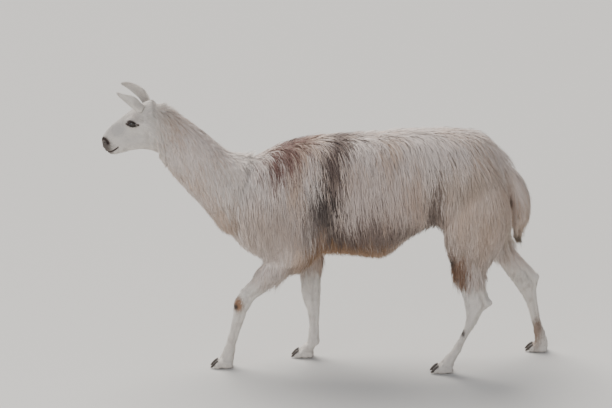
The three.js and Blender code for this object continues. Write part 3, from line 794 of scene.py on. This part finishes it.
triangle_area = 0.5 * np.linalg.norm(np.cross(first_edge, second_edge), axis=1)
triangle_normal = unit(skin_normals[triangles].mean(axis=1))
triangle_lie = unit(lie[triangles].mean(axis=1))
triangle_middle = corners.mean(axis=1)
triangle_word = {word: members[triangles].sum(axis=1) > 1 for word, members in part_words.items()}
random = np.random.default_rng(20)

neck_places = triangle_middle[triangle_word["neck"] & (triangle_middle[:, 0] > -0.56)]
neck_tree = KDTree(len(neck_places))
for index, place in enumerate(neck_places):
    neck_tree.insert(place, index)
neck_tree.balance()


def neck_distance(places):
    """How far each place is from the woolly base of the neck."""
    return np.array([neck_tree.find(place)[2] if place[0] < -0.2 else 1.0 for place in places])


def scattered(chosen, count, weight=None):
    """Evenly spread roots on the chosen triangles: their triangles and their shares of the corners.
    Four times too many are drawn, and one is kept in each cell of a grid before any cell's second."""
    area = triangle_area * chosen * (1 if weight is None else weight)
    picked = random.choice(triangle_count, size=count * 4, p=area / area.sum())
    r = np.sqrt(random.random(count * 4))
    t = random.random(count * 4)
    shares = np.stack([1 - r, r * (1 - t), r * t], axis=1)
    spots = (corners[picked] * shares[..., None]).sum(axis=1)
    cell = math.sqrt(area.sum() / count) * 0.92
    local = cell / np.sqrt(np.ones(len(picked)) if weight is None else weight[picked])
    cells = np.floor(spots / local[:, None] + random.random(3)).astype(np.int64)
    _, first = np.unique(cells, axis=0, return_index=True)
    others = np.setdiff1d(np.arange(len(picked)), first)
    order = np.concatenate([random.permutation(first), random.permutation(others)])[:count]
    return picked[order], shares[order]


def nearest_on(tree, places):
    """The nearest point on a surface to each place, the normal there and the face it is on."""
    found = [tree.find_nearest(Vector(place)) for place in places]
    return (np.array([item[number] for item in found]) for number in range(3))


def outside_outline(places):
    """How far each place stands outside the solids' outline (negative inside)."""
    spots, outward, _ = nearest_on(flesh_tree, places)
    away = places - spots
    return np.linalg.norm(away, axis=1) * np.sign((away * outward).sum(axis=1))


def grown_spines(picked, roots, normals, lengths, rises, rings, droop, spread, thin):
    """Centre lines of locks that follow the skin at a growing height, and hang free below an edge."""
    count = len(roots)
    spine = np.zeros((count, rings + 1, 3))
    over = np.zeros((count, rings + 1, 3))
    spine[:, 0] = roots - 0.0016 * normals
    over[:, 0] = normals
    swirl = np.sin(roots[:, 0] * 31 + 3 * np.sin(roots[:, 2] * 17))
    turn = spread * (random.normal(size=count) + 0.6 * swirl)
    heading = triangle_lie[picked]
    heading = unit(heading + np.tan(turn)[:, None] * np.cross(normals, heading))
    for ring in range(1, rings + 1):
        share = ring / rings
        aim = unit(heading + droop * share * np.array([0, 0, -1.0]))
        reached = spine[:, ring - 1] + aim * (lengths / rings)[:, None]
        spots, _, faces = nearest_on(skin_tree, reached)
        over[:, ring] = normals if thin else triangle_normal[faces]
        height = rises * (1 - (1 - share) ** 1.8)
        lying = spots + over[:, ring] * height[:, None]
        free = ((reached - spots) * over[:, ring]).sum(axis=1) > height
        hang = free * bool(droop) * ramp(over[:, ring, 2], 0.35, -0.15)
        spine[:, ring] = lying + hang[:, None] * (reached - lying)
        heading = unit(0.45 * heading + 0.55 * triangle_lie[faces])
    return spine, over


def gathered(spine, roots, gather, apart):
    """Draws neighbouring locks' tips together into pointed tufts."""
    count, rings = len(roots), spine.shape[1] - 1
    leaders = random.permutation(count)[: max(1, count // 7)]
    leader_tree = KDTree(len(leaders))
    for order, index in enumerate(leaders):
        leader_tree.insert(roots[index], order)
    leader_tree.balance()
    followed = leaders[[leader_tree.find(root)[1] for root in roots]]
    near = np.linalg.norm(roots - roots[followed], axis=1) < apart
    bond = gather * random.uniform(0.3, 1.0, count) * near
    for ring in range(1, rings + 1):
        share = (ring / rings) ** 1.6
        spine[:, ring] += (bond * share)[:, None] * (spine[followed, ring] - spine[:, ring])
    return spine


def cut_to_outline(spine, allowed):
    """Shortens the locks that would reach further than allowed past the solids' outline."""
    count, rings = len(spine), spine.shape[1] - 1
    share = np.ones(count)
    last = np.zeros(count)
    open_ended = np.ones(count, dtype=bool)
    for ring in range(1, rings + 1):
        past = outside_outline(spine[:, ring])
        over_edge = open_ended & (past > allowed)
        part = np.clip((allowed - last) / np.maximum(past - last, 1e-6), 0, 1)
        share[over_edge] = ((ring - 1 + part) / rings)[over_edge]
        open_ended &= ~over_edge
        last = past
    share = np.clip(share, 0.22, 1)
    at = share[:, None] * np.arange(rings + 1)
    low = np.minimum(at.astype(int), rings - 1)
    rest = (at - low)[..., None]
    rows = np.arange(count)[:, None]
    return spine[rows, low] * (1 - rest) + spine[rows, low + 1] * rest, share


# Each ring's width as a share of the lock's, from the root on, for locks of two and of three rings.
LOCK_PROFILES = {2: (0.85, 0.80), 3: (0.66, 1.0, 0.72)}
LOCK_THICKNESS = 0.62
LOCK_WAVE = 0.06
LOCK_ROLL = 0.35
FLYAWAY_SHARE = 0.09
PATCH_SIZE = 0.003


def clear_above(roots, normals):
    """How far out from each root the next bit of skin is, up to a metre for none."""
    clearance = np.full(len(roots), 1.0)
    for index, (root, normal) in enumerate(zip(roots, normals)):
        hit = skin_tree.ray_cast(Vector(root + 0.004 * normal), Vector(normal), 0.12)
        if hit[0] is not None:
            clearance[index] = hit[3]
    return clearance


def lock_sides(spine, over):
    """Each ring's forward and side directions, and how far it lies on the body and doesn't hang."""
    forward = np.zeros_like(spine)
    forward[:, 0] = spine[:, 1] - spine[:, 0]
    forward[:, 1:-1] = spine[:, 2:] - spine[:, :-2]
    forward[:, -1] = spine[:, -1] - spine[:, -2]
    forward = unit(forward)
    side = np.cross(forward, over)
    lying = ramp(np.linalg.norm(side, axis=-1), 0.25, 0.60)[..., None]
    side = unit(side + (1 - lying) * np.cross(forward, np.array([0.6, 0.8, 0.0])))
    return forward, side, lying


def lock_solids(spine, side, up, widths):
    """Closed three-sided locks that taper to a point: vertices lock by lock, and faces."""
    count, rings = len(spine), spine.shape[1] - 1
    per_lock = rings * 3 + 1
    half = 0.5 * widths[:, None] * np.array(LOCK_PROFILES[rings])
    vertices = np.zeros((count, per_lock, 3))
    for ring in range(rings):
        centre = spine[:, ring]
        across = half[:, ring, None] * side[:, ring]
        thick = LOCK_THICKNESS * half[:, ring, None] * up[:, ring]
        vertices[:, ring * 3] = centre - across - 0.35 * thick
        vertices[:, ring * 3 + 1] = centre + across - 0.35 * thick
        vertices[:, ring * 3 + 2] = centre + thick
    vertices[:, -1] = spine[:, -1]
    pattern = [(0, 1, 2)]
    for ring in range(rings - 1):
        for corner in range(3):
            low, low_next = ring * 3 + corner, ring * 3 + (corner + 1) % 3
            pattern += [(low, low_next + 3, low_next), (low, low + 3, low_next + 3)]
    last = (rings - 1) * 3
    pattern += [(last + (corner + 1) % 3, last + corner, last + 3) for corner in range(3)]
    faces = (np.array(pattern)[None] + (np.arange(count) * per_lock)[:, None, None]).reshape(-1, 3)
    return vertices, faces


def mesh_of_triangles(name, vertices, faces):
    mesh = bpy.data.meshes.new(name)
    mesh.vertices.add(len(vertices))
    mesh.vertices.foreach_set("co", vertices.astype(np.float32).ravel())
    mesh.loops.add(len(faces) * 3)
    mesh.loops.foreach_set("vertex_index", faces.astype(np.int32).ravel())
    mesh.polygons.add(len(faces))
    mesh.polygons.foreach_set("loop_start", np.arange(0, len(faces) * 3, 3, dtype=np.int32))
    mesh.polygons.foreach_set("use_smooth", np.ones(len(faces), dtype=bool))
    mesh.update(calc_edges=True)
    return mesh


def grown_locks(name, chosen, count, length, width, weight=None, droop=0.5, gather=0.45, spread=0.13,
                lift=None, beyond=0.008, body_shade=0.62, thin=False, rings=3):
    """One piece of coat: count locks rooted on the chosen triangles, out to the solids' outline."""
    picked, shares = scattered(chosen, int(count * (1)), weight)
    roots = (corners[picked] * shares[..., None]).sum(axis=1)
    normals = unit((skin_normals[triangles[picked]] * shares[..., None]).sum(axis=1))
    root_uv = (triangle_uv[picked] * shares[..., None]).sum(axis=1)
    bare = (skin_leather[triangles[picked]] * shares).sum(axis=1)
    clearance = clear_above(roots, normals)
    keep = (clearance > 0.004) & (random.random(len(roots)) > 1.4 * bare)
    roots, normals, root_uv, picked, clearance = (
        array[keep] for array in (roots, normals, root_uv, picked, clearance))
    count = len(roots)

    # Length, height over the skin and width. Locks are shorter on the underside and where the body
    # folds, lower beside the neck's base, and a few fly away: higher, thinner and past the rest.
    lengths = (length(roots) if callable(length) else length) * random.uniform(0.72, 1.15, count)
    lengths *= 1 - 0.40 * ramp(-normals[:, 2], 0.15, 0.75)
    lengths = np.minimum(lengths, 0.02 + 1.6 * clearance)
    depth = np.clip(-outside_outline(roots), 0.001, 0.045) if lift is None else np.full(count, lift)
    rises = np.minimum(depth * random.uniform(0.42, 1.05, count), 0.45 * clearance)
    if (chosen & triangle_word["neck"]).any():
        on_poll = ramp(roots[:, 2], 1.19, 1.24) * ramp(roots[:, 0], -0.70, -0.78)
        rises *= 1 + 0.8 * ramp(roots[:, 0], -0.66, -0.50) + 0.8 * on_poll
    else:
        rises *= 0.5 + 0.5 * ramp(neck_distance(roots), 0.0, 0.13)
    widths = (width(roots) if callable(width) else width) * random.uniform(0.7, 1.3, count)
    flyaway = random.random(count) < FLYAWAY_SHARE
    rises = np.where(flyaway, 1.3 * rises, rises)
    widths = np.where(flyaway, 0.6 * widths, widths)

    # Centre lines, waved a little from side to side, and the solids rolled about them.
    spine, over = grown_spines(picked, roots, normals, lengths, rises, rings, droop, spread, thin)
    if gather:
        spine = gathered(spine, roots, gather, 0.33 * np.median(lengths))
    spine, kept = cut_to_outline(spine, beyond * np.where(flyaway, 1.8, random.uniform(0.2, 1.2, count)))
    lengths = lengths * kept
    forward, side, lying = lock_sides(spine, over)
    phase = random.uniform(0, 2 * math.pi, count)
    for ring in range(1, rings + 1):
        swing = LOCK_WAVE * lengths * np.sin(phase + ring * 1.8) * (ring / rings)
        spine[:, ring] += swing[:, None] * side[:, ring]
    up = np.cross(side, forward)
    rolled = random.normal(0, LOCK_ROLL, count)[:, None, None]
    side, up = side * np.cos(rolled) + up * np.sin(rolled), up * np.cos(rolled) - side * np.sin(rolled)
    vertices, faces = lock_solids(spine, side, up, widths)
    per_lock = vertices.shape[1]
    mesh = mesh_of_triangles(name, vertices.reshape(-1, 3), faces)

    # Locks are shaded partly by the body's form, so that the fleece reads as one rounded mass.
    own = read_vectors(mesh.vertices, "normal").reshape(count, per_lock, 3)
    form = np.concatenate([np.repeat(over[:, :rings], 3, axis=1), over[:, rings:]], axis=1)
    shade = body_shade * np.concatenate([np.repeat(lying[:, :rings], 3, axis=1), lying[:, rings:]], axis=1)
    mesh.normals_split_custom_set_from_vertices(unit((1 - shade) * own + shade * form).reshape(-1, 3))

    # The strand attribute is the place across and down the lock, and the lock's own lot.
    piece = bpy.data.objects.new(name, mesh)
    bpy.context.collection.objects.link(piece)
    across = np.append(np.tile([0.0, 1.0, 0.5], rings), 0.5)
    down = np.append(np.repeat(np.arange(rings) / rings, 3), 1.0)
    strand = np.zeros((count, per_lock, 3))
    strand[..., 0] = across
    strand[..., 1] = down
    strand[..., 2] = random.random(count)[:, None]
    put_attribute(piece, "strand", "FLOAT_VECTOR", strand)
    put_attribute(piece, "root_place", "FLOAT_VECTOR", np.repeat(roots, per_lock, axis=0))
    patch = root_uv[:, None] + PATCH_SIZE * (np.stack([across, down], axis=-1) - 0.5)
    layer = mesh.uv_layers.new(name="OFBake")
    layer.data.foreach_set("uv", patch.reshape(-1, 2)[faces.ravel()].astype(np.float32).ravel())
    mesh.materials.append(fleece_wool)
    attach(piece, "root")


fleece_wool, wool, wool_surface = new_material("llama_fleece")
across, down, lot = wool.split(wool.attribute("strand"))
root_place = wool.attribute("root_place")
markings_and_shade = wool.add("ShaderNodeGroup", {"node_tree": coat_markings_and_shade}, Place=root_place, Variation=lot)
fibre_place = wool.combined(
    wool.maths("MULTIPLY", across, 5.0),
    wool.maths("MULTIPLY", down, 1.6),
    wool.maths("MULTIPLY", lot, 91.0),
)
fibres = wool.noise(fibre_place, 1.6, 2.0)
depth_shade = wool.ramped(down, 0.0, 0.50, 0.88, 1.0)
lot_shade = wool.ramped(lot, 0.0, 1.0, 0.90, 1.06)
fibre_shade = wool.ramped(fibres, 0.25, 0.75, 0.88, 1.07)
shade = wool.maths("MULTIPLY", depth_shade, wool.maths("MULTIPLY", lot_shade, fibre_shade))
tint = wool.scaled(markings_and_shade.outputs["Colour"], shade)
fleece_wool.node_tree.links.new(tint, wool_surface.inputs["Base Color"])
wool_surface.inputs["Roughness"].default_value = 0.62
wool_surface.inputs["Specular IOR Level"].default_value = 0.32
bump = wool.add("ShaderNodeBump", None, Strength=0.35, Distance=0.0015, Height=fibres)
fleece_wool.node_tree.links.new(bump.outputs[0], wool_surface.inputs["Normal"])

# The wool's front edge on the head, which runs forward above this height.
RUFF_FRONT = -0.862
RUFF_BEND = 1.16
left = triangle_middle[:, 1] < 0
above_bend = np.maximum(triangle_middle[:, 2] - RUFF_BEND, 0)
ruff = triangle_word["head"] & (triangle_middle[:, 0] > RUFF_FRONT - 0.5 * above_bend)
woolly_neck = triangle_word["neck"] | ruff


def neck_length(roots):
    under_throat = ramp(roots[:, 0], -0.70, -0.76) * ramp(roots[:, 2], 1.16, 1.08)
    toward_trunk = 0.080 * ramp(roots[:, 0], -0.74, -0.52)
    return (0.020 + 0.035 * ramp(roots[:, 0], -0.87, -0.76)) * (1 - 0.5 * under_throat) + toward_trunk


def neck_width(roots):
    return 0.0026 + 0.0011 * ramp(roots[:, 0], -0.74, -0.54)


def trunk_length(roots):
    return 0.150 - 0.050 * ramp(roots[:, 0], -0.25, -0.45)


for side_name, on_side in (("left", left), ("right", ~left)):
    grown_locks(f"{side_name}_flank_fleece", triangle_word["trunk"] & on_side, 12000, trunk_length, 0.0037,
                beyond=0.014)
    grown_locks(f"{side_name}_shoulder_fleece", triangle_word["shoulder"] & on_side, 7000, 0.130, 0.0037,
                beyond=0.022)
    grown_locks(f"{side_name}_thigh_fleece", triangle_word["thigh"] & on_side, 8000, 0.120, 0.0037,
                beyond=0.026)
    grown_locks(f"{side_name}_neck_fleece", woolly_neck & on_side, 11000, neck_length, neck_width,
                spread=0.16, gather=0.38, beyond=0.011)
grown_locks("tail_fleece", triangle_word["tail"], 4300, 0.150, 0.0036, beyond=0.030)

# ---- Short hair --------------------------------------------------------------------------------
# Fine flat hair over face, ears and lower legs. It is too short to hang: small tufts lie along the
# skin and only break its outline, and leave the nose, lips and eye rims bare.
# The tufts stand closer on the nose, and the ears' hair starts on the head round each root.
face = triangle_word["head"] & (triangle_middle[:, 0] < -0.84)
toward_nose = 1 + 1.2 * (triangle_middle[:, 0] < -0.95)


def face_length(roots):
    return 0.006 + 0.010 * ramp(roots[:, 0], -1.02, -0.88)


def face_width(roots):
    return 0.0011 + 0.0008 * ramp(roots[:, 0], -1.02, -0.88)


def ear_length(roots):
    return 0.011 + 0.013 * ramp(roots[:, 0], -0.885, -0.850)


def leg_length(roots):
    return 0.012 + 0.018 * ramp(roots[:, 2], 0.25, 0.50)


def leg_width(roots):
    return 0.0018 + 0.0012 * ramp(roots[:, 2], 0.25, 0.50)


near_ear_root = along_line(triangle_middle, [(-0.866, -0.034, 1.236), (-0.874, -0.046, 1.262)]) < 0.019
far_ear_root = along_line(triangle_middle, [(-0.834, 0.032, 1.236), (-0.842, 0.044, 1.262)]) < 0.019
ear_skin = triangle_word["ear_left"] | triangle_word["ear_right"] | near_ear_root | far_ear_root
grown_locks("face_hair", face, 8400, face_length, face_width, weight=toward_nose,
            droop=0, gather=0.2, spread=0.12, lift=0.0026, beyond=0.0025, rings=2)
grown_locks("ear_hair", ear_skin, 5000, ear_length, 0.0017, droop=0, gather=0.2,
            spread=0.12, lift=0.0012, beyond=0.014, body_shade=0.2, thin=True, rings=2)
lower_leg = (triangle_word["shank"] | triangle_word["foot"]) & (triangle_middle[:, 2] > 0.012)
for pair, on_pair in (("fore", triangle_middle[:, 0] < 0.2), ("hind", triangle_middle[:, 0] >= 0.2)):
    grown_locks(f"{pair}leg_hair", lower_leg & on_pair, 5200, leg_length, leg_width,
                droop=0, gather=0.3, spread=0.12, lift=0.0030, beyond=0.004, rings=2)

# ---- Eyes --------------------------------------------------------------------------------------
# Dark wet globes set deep in the orbits, with a bulging cornea over a brown iris and a level
# pupil. A soft black margin runs round the lids and long lashes stand on the lower one. Only the front
# of each globe stands out of the skin, which has no opening cut in it.
IRIS_RADIUS = 0.0150
PUPIL_HALF_LENGTH = 0.0088
PUPIL_HALF_HEIGHT = 0.0040
CORNEA_RISE = 0.0016
MARGIN_RADIUS = 0.0013
LASH_COUNT = 84
LASH_RADIUS = 0.00042


def mesh_piece(name, vertices, faces):
    mesh = bpy.data.meshes.new(name)
    mesh.from_pydata([tuple(vertex) for vertex in vertices], [], [tuple(face) for face in faces])
    piece = bpy.data.objects.new(name, mesh)
    bpy.context.collection.objects.link(piece)
    active(piece)
    bpy.ops.object.mode_set(mode="EDIT")
    bpy.ops.mesh.select_all(action="SELECT")
    bpy.ops.mesh.normals_make_consistent(inside=False)
    bpy.ops.object.mode_set(mode="OBJECT")
    bpy.ops.object.shade_smooth()
    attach(piece, "root")
    return piece


def tube_band(first, second, sides):
    """The faces between two rings of a tube, given by each ring's first vertex."""
    pairs = [(corner, (corner + 1) % sides) for corner in range(sides)]
    return [(first + this, first + following, second + following, second + this) for this, following in pairs]


globe_wet, wet, wet_surface = new_material("llama_eye")
seen = wet.attribute("seen")
u, v, _ = wet.split(seen)
radius = wet.length(wet.combined(u, v))
angle = wet.maths("ARCTAN2", v, u)
ray_place = wet.combined(wet.maths("MULTIPLY", angle, 6.0), wet.maths("MULTIPLY", radius, 90.0))
rays = wet.noise(ray_place, 2.2, 3.0)
iris = wet.mixed(wet.ramped(rays, 0.3, 0.7), (0.012, 0.007, 0.004, 1), (0.040, 0.022, 0.011, 1))
iris = wet.mixed(wet.ramped(radius, IRIS_RADIUS * 0.72, IRIS_RADIUS), iris, (0.008, 0.005, 0.004, 1))
pupil_across = wet.maths("DIVIDE", u, PUPIL_HALF_LENGTH)
pupil_up = wet.maths("DIVIDE", v, PUPIL_HALF_HEIGHT)
pupil_shape = wet.length(wet.combined(pupil_across, pupil_up))
iris = wet.mixed(wet.ramped(pupil_shape, 1.08, 0.92), iris, (0.003, 0.003, 0.004, 1))
white = wet.mixed(wet.noise(seen, 300.0, 3.0), (0.014, 0.009, 0.007, 1), (0.040, 0.026, 0.020, 1))
globe_colour = wet.mixed(wet.ramped(radius, IRIS_RADIUS, IRIS_RADIUS * 1.08), iris, white)
globe_wet.node_tree.links.new(globe_colour, wet_surface.inputs["Base Color"])
wet_surface.inputs["Roughness"].default_value = 0.10
wet_surface.inputs["Coat Weight"].default_value = 0.5
wet_surface.inputs["Coat Roughness"].default_value = 0.02

lid_leather, lid, lid_surface = new_material("llama_lid_margin")
lid_place = lid.add("ShaderNodeTexCoord").outputs["Object"]
lid_colour = lid.mixed(lid.noise(lid_place, 500.0, 3.0), (0.010, 0.007, 0.006, 1), (0.040, 0.027, 0.023, 1))
lid_leather.node_tree.links.new(lid_colour, lid_surface.inputs["Base Color"])
lid_surface.inputs["Roughness"].default_value = 0.32

lash_hair, lash, lash_surface = new_material("llama_lashes")
lash_place = lash.add("ShaderNodeTexCoord").outputs["Object"]
lash_colour = lash.mixed(lash.noise(lash_place, 260.0, 2.0), (0.030, 0.022, 0.018, 1), (0.16, 0.12, 0.095, 1))
lash_hair.node_tree.links.new(lash_colour, lash_surface.inputs["Base Color"])
lash_surface.inputs["Roughness"].default_value = 0.5

for side, side_name in ((-1, "left"), (1, "right")):
    centre = eye_place(side)
    gaze, long_axis, downward = eye_axes(side)
    rings, spokes = 40, 56
    globe_vertices = [centre + (EYE_RADIUS + CORNEA_RISE) * gaze]
    polar = np.linspace(0, math.pi, rings + 1)[1:-1]
    turns = np.arange(spokes) * 2 * math.pi / spokes
    for tilt in polar:
        bulge = CORNEA_RISE * (1 - ramp(np.array(tilt * EYE_RADIUS), 0.004, 0.015))
        for turn in turns:
            around_gaze = math.cos(turn) * long_axis + math.sin(turn) * downward
            direction = math.cos(tilt) * gaze + math.sin(tilt) * around_gaze
            globe_vertices.append(centre + (EYE_RADIUS + bulge) * direction)
    globe_vertices.append(centre - EYE_RADIUS * gaze)
    last = len(globe_vertices) - 1
    globe_faces = [(0, 1 + i, 1 + (i + 1) % spokes) for i in range(spokes)]
    for ring in range(len(polar) - 1):
        first = 1 + ring * spokes
        second = first + spokes
        for this, following in ((i, (i + 1) % spokes) for i in range(spokes)):
            globe_faces.append((first + this, second + this, second + following, first + following))
    first = 1 + (len(polar) - 1) * spokes
    globe_faces += [(first + i, last, first + (i + 1) % spokes) for i in range(spokes)]
    globe = mesh_piece(f"{side_name}_eyeball", globe_vertices, globe_faces)
    toward = places_of(globe) - centre
    seen_places = np.stack([toward @ long_axis, toward @ downward, toward @ gaze], axis=1)
    put_attribute(globe, "seen", "FLOAT_VECTOR", seen_places)
    globe.data.materials.append(globe_wet)
    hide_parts(f"eye_{side_name}")

    margin_count, margin_sides = 72, 8
    margin_line = eye_curve(side, EYE_RADIUS + MARGIN_RADIUS, 0.0002, margin_count)
    margin_vertices = []
    for index, spot in enumerate(margin_line):
        forward = unit(margin_line[(index + 1) % margin_count] - margin_line[index - 1])
        outward = unit(spot - centre)
        inward = np.cross(forward, outward)
        for corner in range(margin_sides):
            turn = corner * 2 * math.pi / margin_sides
            thickness = MARGIN_RADIUS * math.cos(turn) * outward + 0.0012 * math.sin(turn) * inward
            margin_vertices.append(spot + thickness)
    margin_faces = []
    for index in range(margin_count):
        following = (index + 1) % margin_count
        margin_faces += tube_band(index * margin_sides, following * margin_sides, margin_sides)
    margin = mesh_piece(f"{side_name}_lid_margin", margin_vertices, margin_faces)
    margin.data.materials.append(lid_leather)

    lash_vertices, lash_faces = [], []
    lower_lid = eye_curve(side, EYE_RADIUS + 0.0022, 0.0006, 400)
    for index in random.integers(18, 184, LASH_COUNT):
        base = lower_lid[index] + random.normal(0, 0.0004, 3)
        outward = unit(base - centre)
        sweep = long_axis * random.normal(0.22, 0.18)
        reach = random.uniform(0.008, 0.0135)
        start = len(lash_vertices)
        for share in (0, 0.45, 0.8, 1.0):
            curl = np.array([0, 0, -0.34 * share + 0.42 * share ** 2])
            spot = base + reach * (share * (outward * 0.95 + sweep) + curl)
            if share == 1.0:
                lash_vertices.append(spot)
                continue
            for corner in range(3):
                turn = corner * 2 * math.pi / 3
                outwards = math.cos(turn) * long_axis + math.sin(turn) * downward
                lash_vertices.append(spot + LASH_RADIUS * (1 - 0.6 * share) * outwards)
        for ring in (0, 3):
            lash_faces += tube_band(start + ring, start + ring + 3, 3)
        lash_faces += [(start + 6 + corner, start + 6 + (corner + 1) % 3, start + 9) for corner in range(3)]
        lash_faces.append((start, start + 2, start + 1))
    lashes = mesh_piece(f"{side_name}_lashes", lash_vertices, lash_faces)
    lashes.data.materials.append(lash_hair)

# ---- Nails -------------------------------------------------------------------------------------
# A curved horny nail on each of the two toes of every foot, dark at the root, worn paler and
# ridged across towards the tip.
nail_horn, horn, horn_surface = new_material("llama_nail")
horn_place = horn.add("ShaderNodeTexCoord").outputs["Object"]
ridges = horn.noise(horn.vector("MULTIPLY", horn_place, (420.0, 60.0, 160.0)), 1.0, 3.0)
horn_height = horn.split(horn_place)[2]
horn_colour = horn.mixed(ridges, (0.030, 0.024, 0.021, 1), (0.105, 0.085, 0.070, 1))
worn_share = horn.ramped(horn_height, 0.012, 0.001, 0.0, 0.6)
horn_colour = horn.mixed(worn_share, horn_colour, (0.19, 0.155, 0.125, 1))
nail_horn.node_tree.links.new(horn_colour, horn_surface.inputs["Base Color"])
horn_surface.inputs["Roughness"].default_value = 0.42
bump = horn.add("ShaderNodeBump", None, Strength=0.5, Distance=0.0008, Height=ridges)
nail_horn.node_tree.links.new(bump.outputs[0], horn_surface.inputs["Normal"])
for name in [name for name in nodes if "_nail_" in name]:
    nail = bpy.data.objects.new(name.replace("_nail", "_toe_nail"), nodes[name].data.copy())
    nail.data.name = nail.name
    bpy.context.collection.objects.link(nail)
    nail.data.materials.clear()
    active(nail)
    bpy.ops.object.mode_set(mode="EDIT")
    bpy.ops.mesh.select_all(action="SELECT")
    bpy.ops.mesh.remove_doubles(threshold=1e-6)
    bpy.ops.object.mode_set(mode="OBJECT")
    apply_modifier(nail, "SUBSURF", levels=2, render_levels=2)
    bpy.ops.object.shade_smooth()
    nail.data.materials.append(nail_horn)
    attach(nail, "root")
    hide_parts(name)
